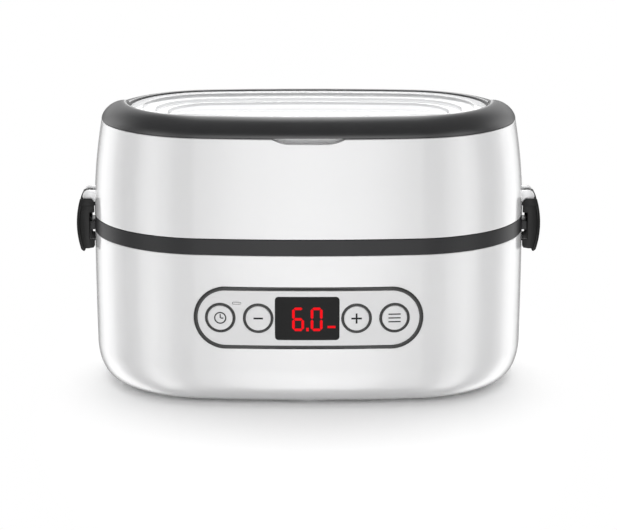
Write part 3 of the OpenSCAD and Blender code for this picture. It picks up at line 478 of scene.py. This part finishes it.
def base_shell():
    corner_w, corner_h, edge = 10, 20, 0.5
    # The opening for the bottom plate, the ledge inside it, and the ledge's two faces
    hole_in, ledge_in, ledge_under, ledge_top = 13.0, 19.5, 4.8, 7.3
    outer = [(hole_in, Z_UNDER)]
    for angle in range(0, 91, 5):
        t = math.radians(angle)
        z = Z_UNDER + corner_h * (1 - math.cos(t))
        outer.append((corner_w * (1 - math.sin(t)) + base_in(z), z))
    low, high = Z_UNDER + corner_h, Z_RIM - 1
    for i in range(1, 9):
        z = low + (high - low) * i / 8
        outer.append((base_in(z), z))
    for angle in (15, 45, 70, 90):
        t = math.radians(angle)
        outer.append((edge - edge * math.cos(t), Z_RIM - edge + edge * math.sin(t)))
    inner = [(base_in(z) + WALL, z) for z in (Z_RIM, 70, 50, 35, 24)]
    inner += [(4.2, 15), (6.2, 9.5), (8.4, ledge_top), (ledge_in, ledge_top),
              (ledge_in, ledge_under), (hole_in, ledge_under)]
    outline = outer + inner
    obj = sweep("BaseShell", outline)
    opening = moved(stadium(PANEL_W + 2 * GAP, PANEL_H + 2 * GAP), 0, PANEL_Z)
    boolean(obj, prism("hole", opening, -PAST_Y, 0))
    for w, h, y in ((FLANGE_W, FLANGE_H, FLANGE_Y - GAP), (INLET_W, INLET_H, 40)):
        boolean(obj, centred("hole", w + 2 * GAP, h + 2 * GAP, INLET_Z, y, PAST_Y))
    return shade_swept(obj, outline)


add(base_shell(), "base", ["base_shell"], WHITE)


def band():
    outline = [
        (0.45, Z_RIM), (0.2, Z_RIM + 0.1), (0.1, Z_RIM + 0.35), (0.1, Z_BAND - 0.4),
        (0.22, Z_BAND - 0.12), (0.5, Z_BAND), (8, Z_BAND), (8, 91), (15, 91), (15, 88.4),
        (5.15, 88.4), (5.15, 81.4), (2.85, 81.4), (2.85, Z_RIM),
    ]
    obj = shade_swept(sweep("BandRing", outline), outline)
    catch = [(118.5, Z_RIM), (125, Z_RIM), (125, 87.2), (123.4, 90.4), (118.5, 90.4)]
    half = 7.6
    lugs = []
    for side in (-1, 1):
        points = [(side * x, z) for x, z in catch]
        lugs.append(smooth(bevel(prism("lug", points, -half, half), 0.4)))
    return join_shaded("BandRing", [obj] + lugs)


add(band(), "base", ["band_ring"], BAND)


def feet():
    profile = [(3.8, 0), (4.5, 0.25), (4.9, 0.7), (5, 1.3), (5, 3.3)]
    angle, reach, steps = math.radians(59), END_R - 18.5, 40
    bm = bmesh.new()
    for sx in (-1, 1):
        for sy in (-1, 1):
            cx, cy = sx * (END_C + reach * math.cos(angle)), sy * reach * math.sin(angle)
            rings = []
            for r, z in profile:
                rings.append([
                    bm.verts.new(Vector((cx + r * math.cos(2 * math.pi * k / steps),
                                         cy + r * math.sin(2 * math.pi * k / steps), z)) * MM)
                    for k in range(steps)
                ])
            walls(bm, rings, looped=False)
    return smooth(link("Feet", bm), 40)


add(feet(), "base", ["feet"], FOOT)


# ---- Control panel ----

def skin(name, outer, inner, x0, x1, z0, z1, columns=96):
    """A slab that follows the bow of the front between two depths."""
    section = ((outer, z0), (outer, z1), (inner, z1), (inner, z0))
    bm = bmesh.new()
    grid = []
    for i in range(columns + 1):
        x = x0 + (x1 - x0) * i / columns
        grid.append([bm.verts.new(Vector((x, -oval_y(x, d), z)) * MM) for d, z in section])
    walls(bm, grid, looped=False)
    return link(name, bm)


def bowed(name, shape, outer, inner):
    """A flat outline cut from the front's skin."""
    xs, zs = zip(*shape)
    obj = skin(name, outer, inner, min(xs) - 1, max(xs) + 1, min(zs) - 1, max(zs) + 1)
    return boolean(obj, prism("cut", shape, -PAST_Y, -40), "INTERSECT")


def shade_bowed(obj, outer, inner):
    """Gives a bowed piece the skin's own normals, whatever its height."""
    tall = 1000.0
    return shade_swept(obj, [(inner, tall), (inner, -tall), (outer, -tall), (outer, tall)])


def loops_piece(name, shapes, looped):
    """A piece on the bowed front from (outline, depth) loops, from its back round its front."""
    bm = bmesh.new()
    rings = [
        [bm.verts.new(Vector((x, -oval_y(x, d), z)) * MM) for x, z in shape]
        for shape, d in shapes
    ]
    walls(bm, rings, looped)
    return link(name, bm)


def rim_section(width, corner):
    """A thin rim's section as (offset, depth): the given rounded corner on both of its edges."""
    mirrored = [(width - off, d) for off, d in reversed(corner)]
    return [(0, PANEL_BACK)] + corner + mirrored + [(width, PANEL_BACK)]


def trim_piece():
    def ring(off):
        return moved(stadium(PANEL_W - 2 * off, PANEL_H - 2 * off, 40), 0, PANEL_Z)
    section = rim_section(PANEL_RIM, [(0, -0.2), (0.08, -0.36), (0.25, -0.45)])
    return smooth(loops_piece("PanelTrim", [(ring(off), d) for off, d in section], True), 35)


def key_ring_piece():
    section = rim_section(KEY_RING_W, [(0, -0.15), (0.1, -0.29), (0.3, -0.35)])
    parts = []
    for x in KEY_XS:
        shapes = [(circle(x, PANEL_Z, KEY_RING_R - off), d) for off, d in section]
        parts.append(loops_piece("ring", shapes, True))
    return smooth(join("KeyRings", parts), 35)


def face_piece():
    less = 2 * (PANEL_RIM + GAP)
    shape = moved(stadium(PANEL_W - less, PANEL_H - less), 0, PANEL_Z)
    display = rounded(DISPLAY_W + 2 * GAP, DISPLAY_H + 2 * GAP, DISPLAY_CORNER)
    holes = [circle(x, PANEL_Z, KEY_RING_R + GAP) for x in KEY_XS]
    holes += [moved(display, DISPLAY_X, PANEL_Z), moved(stadium(4.9, 1.5, 12), LENS_X, LENS_Z)]
    obj = bowed("PanelFace", shape, FACE_DEPTH, PANEL_BACK)
    for hole in holes:
        boolean(obj, prism("hole", hole, -PAST_Y, -50))
    return shade_bowed(obj, FACE_DEPTH, PANEL_BACK)


def flush_piece(name, shape, back):
    """A piece whose front is level with the panel's face."""
    return shade_bowed(bowed(name, shape, FACE_DEPTH, back), FACE_DEPTH, back)


def key_piece(name, x):
    front = -0.55
    loops = [(KEY_R - 2, 6.0), (KEY_R, 3.9), (KEY_R, -0.3), (KEY_R - 0.1, -0.46),
             (KEY_R - 0.3, front), (KEY_R - 2, front), (KEY_R - 4, front), (0.8, front)]
    return smooth(loops_piece(name, [(circle(x, PANEL_Z, r), d) for r, d in loops], False), 35)


def print_on(name, shapes, depth):
    """Thin flat signs printed on a key or the display."""
    parts = [bowed(name, shape, depth, depth + INK_THICK) for shape in shapes]
    obj = parts[0] if len(parts) == 1 else join(name, parts)
    return shade_bowed(obj, depth, depth + INK_THICK)


def ring_shape(x, z, r, t):
    """Two half rings that make a circle's outline."""
    return [arc(x, z, r, a, a + 180, 28) + arc(x, z, r - t, a + 180, a, 28) for a in (0, 180)]


def title(body):
    return "".join(word.title() for word in body.split("_"))


add(trim_piece(), "base", ["panel_trim"], TRIM)
add(key_ring_piece(), "base", ["key_rings"], TRIM)
add(face_piece(), "base", ["panel_face"], KEY_WHITE)
lens_shape = moved(stadium(4.35, 0.95, 12), LENS_X, LENS_Z)
add(flush_piece("IndicatorLens", lens_shape, 4.4), "base", ["indicator_lens"], LENS)
screen_shape = moved(rounded(DISPLAY_W, DISPLAY_H, DISPLAY_CORNER), DISPLAY_X, PANEL_Z)
add(flush_piece("DisplayWindow", screen_shape, 1.8), "base", ["display_window"], SCREEN)

timer_x, minus_x, plus_x, menu_x = KEY_XS
SIGNS = {
    "timer_key": ring_shape(timer_x, PANEL_Z, 3.3, 0.65) + [
        bar(timer_x, PANEL_Z + 1.0, 0.6, 2.2), bar(timer_x + 1.0, PANEL_Z - 0.1, 1.4, 0.6)],
    "minus_key": [bar(minus_x, PANEL_Z, 5.1, 0.95)],
    "plus_key": [bar(plus_x, PANEL_Z, 5.7, 0.95), bar(plus_x, PANEL_Z + 1.65, 0.95, 2.35),
                 bar(plus_x, PANEL_Z - 1.65, 0.95, 2.35)],
    "menu_key": [bar(menu_x, PANEL_Z + up, 6.6, 0.65) for up in (2.1, 0.0, -2.1)],
}
for body, x in zip(SIGNS, KEY_XS):
    add(key_piece(title(body), x), body, [body], KEY_WHITE)
for body, shapes in SIGNS.items():
    add(print_on(title(body) + "Sign", shapes, SIGN_DEPTH), body, (), INK)


def digit(x, z, lit, w=5.0, h=11.7, t=1.45):
    """The bars of a seven-bar figure, each with pointed ends."""
    gap, half = 0.18, t / 2
    ends = {
        "a": ((0, h), (w, h)), "g": ((0, h / 2), (w, h / 2)), "d": ((0, 0), (w, 0)),
        "f": ((0, h / 2), (0, h)), "b": ((w, h / 2), (w, h)),
        "e": ((0, 0), (0, h / 2)), "c": ((w, 0), (w, h / 2)),
    }
    out = []
    for name in lit:
        (x0, z0), (x1, z1) = ends[name]
        if z0 == z1:
            a, b = x0 + gap, x1 - gap
            pts = [(a, z0), (a + half, z0 + half), (b - half, z0 + half), (b, z0),
                   (b - half, z0 - half), (a + half, z0 - half)]
        else:
            a, b = z0 + gap, z1 - gap
            pts = [(x0, a), (x0 + half, a + half), (x0 + half, b - half), (x0, b),
                   (x0 - half, b - half), (x0 - half, a + half)]
        out.append([(x + px - w / 2, z + pz - h / 2) for px, pz in pts])
    return out


digit_z = PANEL_Z - 0.4
segments = digit(-5.6, digit_z, "afgedc") + digit(4.4, digit_z, "abcdef")
# The point after the first figure, and the short line after the second
segments += [bar(-0.55, PANEL_Z - 6.1, 1.4, 1.9), bar(12.4, PANEL_Z - 4.7, 4.3, 1.25)]
add(print_on("DisplayDigits", segments, DIGIT_DEPTH), "base", (), GLOW)


# ---- Bowls ----

def bowl(name, low, high):
    def corner(r, angles):
        return [(41.0 - r * math.cos(math.radians(a)), low + 13.5 - r * math.sin(math.radians(a)))
                for a in angles]
    outer = corner(12, range(90, -1, -10))
    outer += [(25.2, high - 4), (24.2, high - 3.2), (24.0, high - 2.8), (24.0, high - 0.3),
              (24.3, high)]
    inner = [(26.9, high), (27.2, high - 0.3)] + corner(8.8, range(0, 91, 10))
    outline = outer + inner
    obj = shade_swept(sweep(name, outline, closed=False), outline, closed=False)
    foot = [(44, low + 0.3), (44.3, low), (46.7, low), (47, low + 0.3), (47, low + 2.0),
            (44, low + 2.0)]
    ring = shade_swept(sweep(name + "Foot", foot), foot)
    return join_shaded(name, [obj, ring])


def lid(name, top):
    """A lid that rests on a bowl's rim at a height, with a skirt around it and a raised middle."""
    skirt_out, skirt_in = 22.3, 23.7
    # From the middle of the top, out over the skirt, and back in under it
    path = [(skirt_out + off, top + up) for off, up in (
        (30, 3.4), (14.5, 3.4), (13.9, 3.15), (13.1, 1.6), (12.6, 1.4), (0.6, 1.4), (0.2, 1.25),
        (0, 0.8), (0, -2.7), (0.2, -3))]
    path += [(skirt_in + off, top + up) for off, up in (
        (-0.2, -3), (0, -2.8), (0, 0), (13, 0), (14.2, 2.0), (30, 2.0))]
    return shade_swept(sweep(name, path, closed=False), path, closed=False)


LOWER_RIM, UPPER_RIM = 87.9, 140.6
add(bowl("LowerBowl", 40.8, LOWER_RIM), "base", ["lower_bowl"], BOWL)
add(bowl("UpperBowl", 92.8, UPPER_RIM), "base", ["upper_bowl"], BOWL)
add(lid("LowerLid", LOWER_RIM), "base", ["lower_lid"], LID)
add(lid("UpperLid", UPPER_RIM), "base", ["upper_lid"], LID)


# ---- Cover ----

def cover_in(z):
    """How far the cover's wall leans in at a height."""
    return COVER_LEAN * ((z - Z_BAND) / (Z_DECK - Z_BAND)) ** 2


def lug_start(side):
    """The lower x of the cover's hinge lug on a side."""
    return LUG_X if side > 0 else -LUG_X - LUG_W


def notch_outline():
    """The shallow notch for the fingers, open at the top."""
    half = [(19.8, 149.1), (19.8, Z_DECK), (18.6, 147.4), (16.9, 146.65), (14.8, 145.95),
            (12.4, 145.4), (10.5, 145.2)]
    return half + [(-x, z) for x, z in reversed(half)]


def cover_shell():
    low, ceiling, lug_foot = Z_BAND + 0.2, Z_DECK - 2.7, Z_DECK - 1
    start, stop = low + 0.6, Z_DECK - 0.7
    outer = [(0.5, low), (0.22, low + 0.08), (0.05, low + 0.28)]
    for i in range(17):
        z = start + (stop - start) * i / 16
        outer.append((cover_in(z), z))
    edge = cover_in(stop)
    outer += [(edge + 0.13, Z_DECK - 0.32), (edge + 0.32, Z_DECK - 0.12), (edge + 0.7, Z_DECK)]
    inner = [(27.6, Z_DECK), (27.6, ceiling)]
    for i in range(8, -1, -1):
        z = low + (ceiling - low) * i / 8
        inner.append((cover_in(z) + WALL, z))
    outline = outer + inner
    obj = sweep("CoverShell", outline)
    # The wall is thickened behind the notch
    pad = sweep("pad", [(6.1, 142.5), (15.8, 142.5), (15.8, lug_foot), (6.1, lug_foot)])
    boolean(pad, block("cut", -22.25, 22.25, -PAST_Y, 0, UNDER_RING, OVER_RING), "INTERSECT")
    boolean(obj, pad, "UNION")
    boolean(obj, prism("notch", notch_outline(), -PAST_Y, -59.2))
    shade_swept(obj, outline)
    extra = []
    root = -1.8
    ear = [(root, LATCH_Z - EAR_R)] + arc(LATCH_OUT, LATCH_Z, EAR_R, -90, 90, 18)
    ear.append((root, LATCH_Z + EAR_R))
    lug = [(KNUCKLE_Y - LUG_NECK / 2, lug_foot), (KNUCKLE_Y + LUG_NECK / 2, lug_foot)]
    lug += arc(KNUCKLE_Y, KNUCKLE_Z, LUG_R, -43.6, 223.6, 30)
    for side in (-1, 1):
        shape = [(side * (HALF_W + x), z) for x, z in ear]
        for y0, y1 in ((-7.8, -4.6), (4.6, 7.8)):
            extra.append(smooth(bevel(prism("ear", shape, y0, y1), 0.4), 40))
        x0 = lug_start(side)
        extra.append(smooth(bevel(prism("lug", lug, x0, x0 + LUG_W, "x"), 0.25), 40))
    return join_shaded("CoverShell", [obj] + extra)


add(cover_shell(), "cover", ["cover_shell"], WHITE)


def window():
    """The pane: a flat flange, and three steps down towards its middle."""
    edge, top, thick, flange = 20.6, 154.3, 2.4, 3.35
    tread, rise = 7, 1.4
    low = top - flange

    def step(i):
        return edge + tread * i, top - rise * i
    under = []
    for i in (3, 2, 1):
        x, z = step(i)
        up = step(i - 1)[1] - thick if i > 1 else low
        under += [(x - 1.2, z - thick), (x - 1.8, up)]
    over = [(edge, low + 0.2), (edge, top - 0.5), (edge + 0.15, top - 0.15), (edge + 0.5, top)]
    for i in (1, 2, 3):
        x, z = step(i)
        up = step(i - 1)[1]
        over += [(x - 0.25, up), (x + 0.1, up - 0.15), (x + 0.5, z + 0.15), (x + 0.85, z)]
    path = under + [(edge + 0.2, low)] + over
    return shade_swept(sweep("Window", path, closed=False), path, closed=False, angle=50)


pane = window()
pane.visible_shadow = False
add(pane, "cover", ["window"], CLEAR)


def ring_outline(h):
    """The dark ring's section: a wide quarter oval outside and a small roll inside."""
    roll = RING_IN - CREST_IN
    wide = CREST_IN - RING_OUT
    power = 2 / RING_FULL
    out = []
    for angle in range(0, 91, 5):
        t = math.radians(angle)
        out.append((CREST_IN - wide * max(0, math.cos(t)) ** power,
                    Z_RING + h * math.sin(t) ** power))
    for angle in range(15, 91, 15):
        t = math.radians(angle)
        out.append((CREST_IN + roll * math.sin(t), Z_RING + h - roll + roll * math.cos(t)))
    return out + [(RING_IN, Z_RING)]


def hollow(height, y0, y1):
    """What is hollowed out of the ring from below, apart from what lies between y0 and y1."""
    under, top = Z_RING - 1, Z_RING + height
    obj = sweep("hollow", [(8.8, under), (17.2, under), (17.2, top), (8.8, top)])
    return boolean(obj, block("cut", -PAST_X, PAST_X, y0, y1, UNDER_RING, OVER_RING))


def hinge_rod(side, r, end, steps=72):
    """A rod along the handle's axis, from the inside of the hinge outward."""
    low, high = sorted((side * HINGE_X, side * end))
    return rod("rod", "x", (KNUCKLE_Y, KNUCKLE_Z), r, low, high, steps)


def handle():
    outline = ring_outline(HANDLE_H)
    obj = sweep("Handle", outline)
    # All behind the seam goes, but for the round knuckles
    for side in (-1, 1):
        x0, x1 = sorted((side * 60, side * PAST_X))
        rear = block("rear", x0, x1, KNUCKLE_Y, PAST_Y, UNDER_RING, OVER_RING)
        boolean(rear, hinge_rod(side, KNUCKLE_R, 121))
        boolean(obj, rear)
    boolean(obj, block("rear", -61, 61, KNUCKLE_Y, PAST_Y, UNDER_RING, OVER_RING))
    boolean(obj, hollow(4.6, -14, PAST_Y))
    play = 0.4
    for side in (-1, 1):
        x0 = lug_start(side) - play
        boolean(obj, block("slot", x0, x0 + LUG_W + 2 * play, KNUCKLE_Y - 3.2, KNUCKLE_Y + 9.6,
                           UNDER_RING, KNUCKLE_Z + 3.2))
        boolean(obj, hinge_rod(side, PIN_R + GAP, PIN_END, 40))
        inside = side * 99.7
        boolean(obj, block("face", inside - play, inside + play, KNUCKLE_Y - 6, KNUCKLE_Y + 6,
                           UNDER_RING, OVER_RING))
    return shade_swept(obj, outline)


def rear_trim():
    outline = ring_outline(TRIM_H)
    obj = sweep("RearTrim", outline)
    boolean(obj, block("front", -PAST_X, PAST_X, -PAST_Y, KNUCKLE_Y, UNDER_RING, OVER_RING))
    boolean(obj, hollow(2.9, -PAST_Y, 12))
    for side in (-1, 1):
        boolean(obj, hinge_rod(side, SEAT_R, 120))
    return shade_swept(obj, outline)


add(handle(), "handle", ["handle"], RING)
add(rear_trim(), "cover", ["rear_trim"], RING)


# ---- Latches ----

def latch(name, side):
    """A latch from outlines of (distance out from the oval's end, height)."""
    bulge, bow_r, bow_z, thick = 9.7, 50.0, LATCH_Z - 15.5, 2.4
    top, shoulder, low, tip = LATCH_Z - 1.2, LATCH_Z - 5, LATCH_Z - 29.6, LATCH_Z - 31.4
    # The cheeks' edge nearest to the wall, and the opening in them where the band passes
    near, notch_out, notch_high, notch_low = -0.25, 2.4, LATCH_Z - 9, LATCH_Z - 24
    tip_round, cheek, set_in = 1.2, 1.6, 0.3
    hook_half, tongue_half = 7.1, 4.3

    def bow(inset, high, low, steps):
        out = []
        for i in range(steps + 1):
            z = high + (low - high) * i / steps
            out.append((bulge - bow_r + math.sqrt((bow_r - inset) ** 2 - (z - bow_z) ** 2), z))
        return out

    def across(points, y0, y1, width):
        pts = [(side * (HALF_W + x), z) for x, z in points]
        return bevel(prism("part", pts, y0, y1), width, 2, 30)

    plate = bow(0, shoulder, tip + tip_round, 20)
    plate += [(bow(0, tip, tip, 1)[0][0] - tip_round, tip)]
    plate += bow(thick, tip + tip_round, shoulder, 20)
    parts = [across(plate, -LATCH_W / 2, LATCH_W / 2, 0.5)]
    flank = bow(thick / 2, shoulder, low, 14) + [
        (3.4, low), (0.4, low + 0.5), (near, low + 1.8), (near, notch_low), (notch_out, notch_low),
        (notch_out, notch_high), (near, notch_high), (near, shoulder)]
    end = bow(0, top, shoulder - 1, 5) + [
        (near, shoulder - 1), (near, top - 1.9), (0.3, top - 1.05), (1.5, top)]
    for way in (-1, 1):
        inside, outside = way * (LATCH_W / 2 - cheek), way * LATCH_W / 2
        parts.append(across(flank, *sorted((inside, outside)), 0.4))
        parts.append(across(end, *sorted((inside, outside - way * set_in)), 0.25))
    hook = [(3.8, 85.1), (8.2, 85.1), (8.2, 80.2), (4.6, 81.7)]
    parts.append(across(hook, -hook_half, hook_half, 0.2))
    # The tongue between the ears: a round end about the pin, and an arm down to the plate
    parts.append(across(arc(LATCH_OUT, LATCH_Z, 2.3, 0, 355, 60), -tongue_half, tongue_half, 0.2))
    arm = [(0, 0), (2.5, 0.4), (2.4, 1.5), (2.85, 1.85), (3.5, 1.1), (4.05, -0.1), (4.4, -1.2),
           (5, -4), (5.1, -7.5), (3.8, -8.5), (2.4, -8.5), (-0.2, -4.5), (-1.4, -1.5)]
    parts.append(across(moved(arm, LATCH_OUT, LATCH_Z), -tongue_half, tongue_half, 0.2))
    return smooth(join(name, parts), 35)


add(latch("LatchLeft", -1), "latch_left", ["latch_left"], LATCH)
add(latch("LatchRight", 1), "latch_right", ["latch_right"], LATCH)


# ---- Power inlet ----

def inlet():
    obj = centred("PowerInlet", INLET_W, INLET_H, INLET_Z, FLANGE_Y - 20, 69)
    flange = centred("flange", FLANGE_W, FLANGE_H, INLET_Z, FLANGE_Y, FLANGE_Y + 2)
    boolean(obj, bevel(flange, 0.5), "UNION")
    recess = moved(rounded(23.5, 15.8, 1.5, 6), 0, INLET_Z)
    boolean(obj, prism("recess", recess, FLANGE_Y - 15, 80))
    return smooth(obj, 30)


add(inlet(), "base", ["power_inlet"], BLACK)


# ---- Studio, in metres ----

SKY_LIGHT = 0.58
# How bright the studio looks in a glossy surface, by degrees away from the front
AROUND = [(0, 3.9), (8, 3.4), (15, 1.6), (22, 1.0), (34, 1.0), (48, 2.0), (60, 2.6), (70, 1.9),
          (82, 0.5), (95, 0.35), (106, 0.9), (118, 1.8), (132, 1.7), (144, 0.9), (156, 0.15),
          (180, 0.05)]
# A ramp's colours end at 1, so brighter levels are divided by this and multiplied again
BRIGHTEST = 4.0

LAMP_PLACE, LAMP_AIM, LAMP_SIZE, LAMP_POWER = (0, 0.36, 1.5), (0, 0.1, 0), (1.8, 1.2), 20.5

# The floor's half width and front end, the backdrop's place, height and the round turn up to it
FLOOR_HALF, FLOOR_FRONT, BACK_Y, BACK_HIGH, BACK_TURN = 3.0, -3.0, 1.6, 2.6, 0.8
# Half axes of the oval that the shadow fades out in, and where in it the fading starts
FLOOR_SPREAD, FADE_FROM = (0.155, 0.36, 1.0), 0.6

CAMERA_PLACE, CAMERA_DOWN, CAMERA_LENS, CAMERA_SHIFT = (0, -1.300, 0.392), 13.25, 138.2, -0.064


def sky():
    """White for the camera, plain light for matt surfaces, and a shaped studio for glossy ones."""
    world = bpy.data.worlds.new("studio")
    bpy.context.scene.world = world
    world.use_nodes = True
    tree = world.node_tree
    link_to = tree.links.new

    def maths(operation, a, b=None):
        node = tree.nodes.new("ShaderNodeMath")
        node.operation = operation
        for socket, value in zip(node.inputs, (a, b)):
            if value is None:
                continue
            if isinstance(value, (int, float)):
                socket.default_value = value
            else:
                link_to(value, socket)
        return node.outputs[0]

    def ramp(value, stops):
        node = tree.nodes.new("ShaderNodeValToRGB")
        node.color_ramp.interpolation = "EASE"
        points = node.color_ramp.elements
        while len(points) < len(stops):
            points.new(0.5)
        for point, (at, _) in zip(points, stops):
            point.position = at
        for point, (_, level) in zip(points, stops):
            grey = level / BRIGHTEST
            point.color = (grey, grey, grey, 1)
        link_to(value, node.inputs[0])
        return maths("MULTIPLY", node.outputs[0], BRIGHTEST)

    place = tree.nodes.new("ShaderNodeTexCoord")
    split = tree.nodes.new("ShaderNodeSeparateXYZ")
    link_to(place.outputs["Generated"], split.inputs[0])
    x, y, z = split.outputs
    turn = maths("ABSOLUTE", maths("ARCTAN2", x, maths("MULTIPLY", y, -1.0)))
    level = ramp(maths("DIVIDE", turn, math.pi), [(a / 180, v) for a, v in AROUND])
    # Behind the object: a soft field, and a bright narrow card in its middle
    back = maths("MULTIPLY", ramp(y, [(0.25, 0.0), (0.6, 0.9)]),
                 ramp(z, [(0.02, 0.0), (0.12, 1.0), (0.45, 1.0), (0.7, 0.0)]))
    card = maths("MULTIPLY", ramp(maths("ABSOLUTE", x), [(0.03, 4.0), (0.14, 0.0)]),
                 ramp(z, [(0.1, 0.0), (0.2, 1.0), (0.8, 1.0), (0.9, 0.0)]))
    card = maths("MULTIPLY", card, ramp(y, [(0.1, 0.0), (0.3, 1.0)]))
    back = maths("MAXIMUM", back, card)
    # The strips around fade out overhead, and change below the horizon
    lower = ramp(maths("ADD", z, 1.0),
                 [(0.0, 0.0), (0.06, 0.1), (0.22, 1.2), (0.5, 1.2), (0.7, 1.0)])
    upper = ramp(z, [(0.35, 1.0), (0.75, 0.0)])
    strips = maths("MULTIPLY", level, maths("MULTIPLY", upper, lower))
    shown = maths("ADD", maths("MAXIMUM", strips, back), 0.2)
    path = tree.nodes.new("ShaderNodeLightPath")
    plain = maths("MULTIPLY", maths("SUBTRACT", 1.0, path.outputs["Is Glossy Ray"]), SKY_LIGHT)
    glossy = maths("MULTIPLY", path.outputs["Is Glossy Ray"], shown)
    total = maths("MAXIMUM", maths("ADD", plain, glossy), path.outputs["Is Camera Ray"])
    total = maths("MAXIMUM", total, path.outputs["Is Transmission Ray"])
    shader = tree.nodes["Background"]
    shader.inputs["Color"].default_value = (1, 1, 1, 1)
    link_to(total, shader.inputs["Strength"])


def floor_material():
    """Matt white that takes the shadow. Past the shadow, the camera sees it plain white."""
    mat = bpy.data.materials.new("floor_white")
    mat.use_nodes = True
    tree = mat.node_tree
    link_to = tree.links.new
    shader = tree.nodes["Principled BSDF"]
    shader.inputs["Base Color"].default_value = (0.96, 0.96, 0.96, 1)
    shader.inputs["Roughness"].default_value = 0.9
    shader.inputs["Specular IOR Level"].default_value = 0.0
    place = tree.nodes.new("ShaderNodeTexCoord")
    spread = tree.nodes.new("ShaderNodeVectorMath")
    spread.operation = "DIVIDE"
    spread.inputs[1].default_value = FLOOR_SPREAD
    link_to(place.outputs["Object"], spread.inputs[0])
    reach = tree.nodes.new("ShaderNodeVectorMath")
    reach.operation = "LENGTH"
    link_to(spread.outputs["Vector"], reach.inputs[0])
    far = tree.nodes.new("ShaderNodeMapRange")
    far.interpolation_type = "SMOOTHSTEP"
    far.inputs["From Min"].default_value = FADE_FROM
    far.inputs["From Max"].default_value = 1.0
    link_to(reach.outputs["Value"], far.inputs["Value"])
    path = tree.nodes.new("ShaderNodeLightPath")
    seen = tree.nodes.new("ShaderNodeMath")
    seen.operation = "MULTIPLY"
    link_to(far.outputs["Result"], seen.inputs[0])
    link_to(path.outputs["Is Camera Ray"], seen.inputs[1])
    white = tree.nodes.new("ShaderNodeEmission")
    mix = tree.nodes.new("ShaderNodeMixShader")
    link_to(seen.outputs["Value"], mix.inputs[0])
    link_to(shader.outputs["BSDF"], mix.inputs[1])
    link_to(white.outputs["Emission"], mix.inputs[2])
    link_to(mix.outputs["Shader"], tree.nodes["Material Output"].inputs["Surface"])
    return mat


def floor():
    """A floor that turns up into a backdrop."""
    line = [(FLOOR_FRONT, 0.0), (BACK_Y - BACK_TURN, 0.0)]
    for angle in range(6, 91, 6):
        t = math.radians(angle)
        line.append((BACK_Y - BACK_TURN + BACK_TURN * math.sin(t),
                     BACK_TURN - BACK_TURN * math.cos(t)))
    line.append((BACK_Y, BACK_HIGH))
    bm = bmesh.new()
    left, right = (
        [bm.verts.new((x, y, z)) for y, z in line] for x in (-FLOOR_HALF, FLOOR_HALF))
    for i in range(len(line) - 1):
        bm.faces.new((left[i], right[i], right[i + 1], left[i + 1]))
    obj = smooth(link("Floor", bm), 40)
    obj.visible_glossy = False
    obj.data.materials.append(floor_material())


def lamp():
    light = bpy.data.lights.new("top", "AREA")
    light.shape = "RECTANGLE"
    light.size, light.size_y = LAMP_SIZE
    light.energy = LAMP_POWER
    obj = bpy.data.objects.new("top", light)
    obj.location = LAMP_PLACE
    aim = Vector(LAMP_AIM) - Vector(LAMP_PLACE)
    obj.rotation_euler = aim.to_track_quat("-Z", "Y").to_euler()
    obj.visible_glossy = False
    bpy.context.scene.collection.objects.link(obj)


def camera():
    cam = bpy.data.cameras.new("camera")
    cam.lens = CAMERA_LENS
    cam.sensor_width = 36
    cam.shift_y = CAMERA_SHIFT
    obj = bpy.data.objects.new("camera", cam)
    obj.location = CAMERA_PLACE
    obj.rotation_euler = (math.radians(90 - CAMERA_DOWN), 0, 0)
    bpy.context.scene.collection.objects.link(obj)
    bpy.context.scene.camera = obj


floor()
sky()
lamp()
camera()
bpy.context.scene.view_settings.view_transform = "Standard"
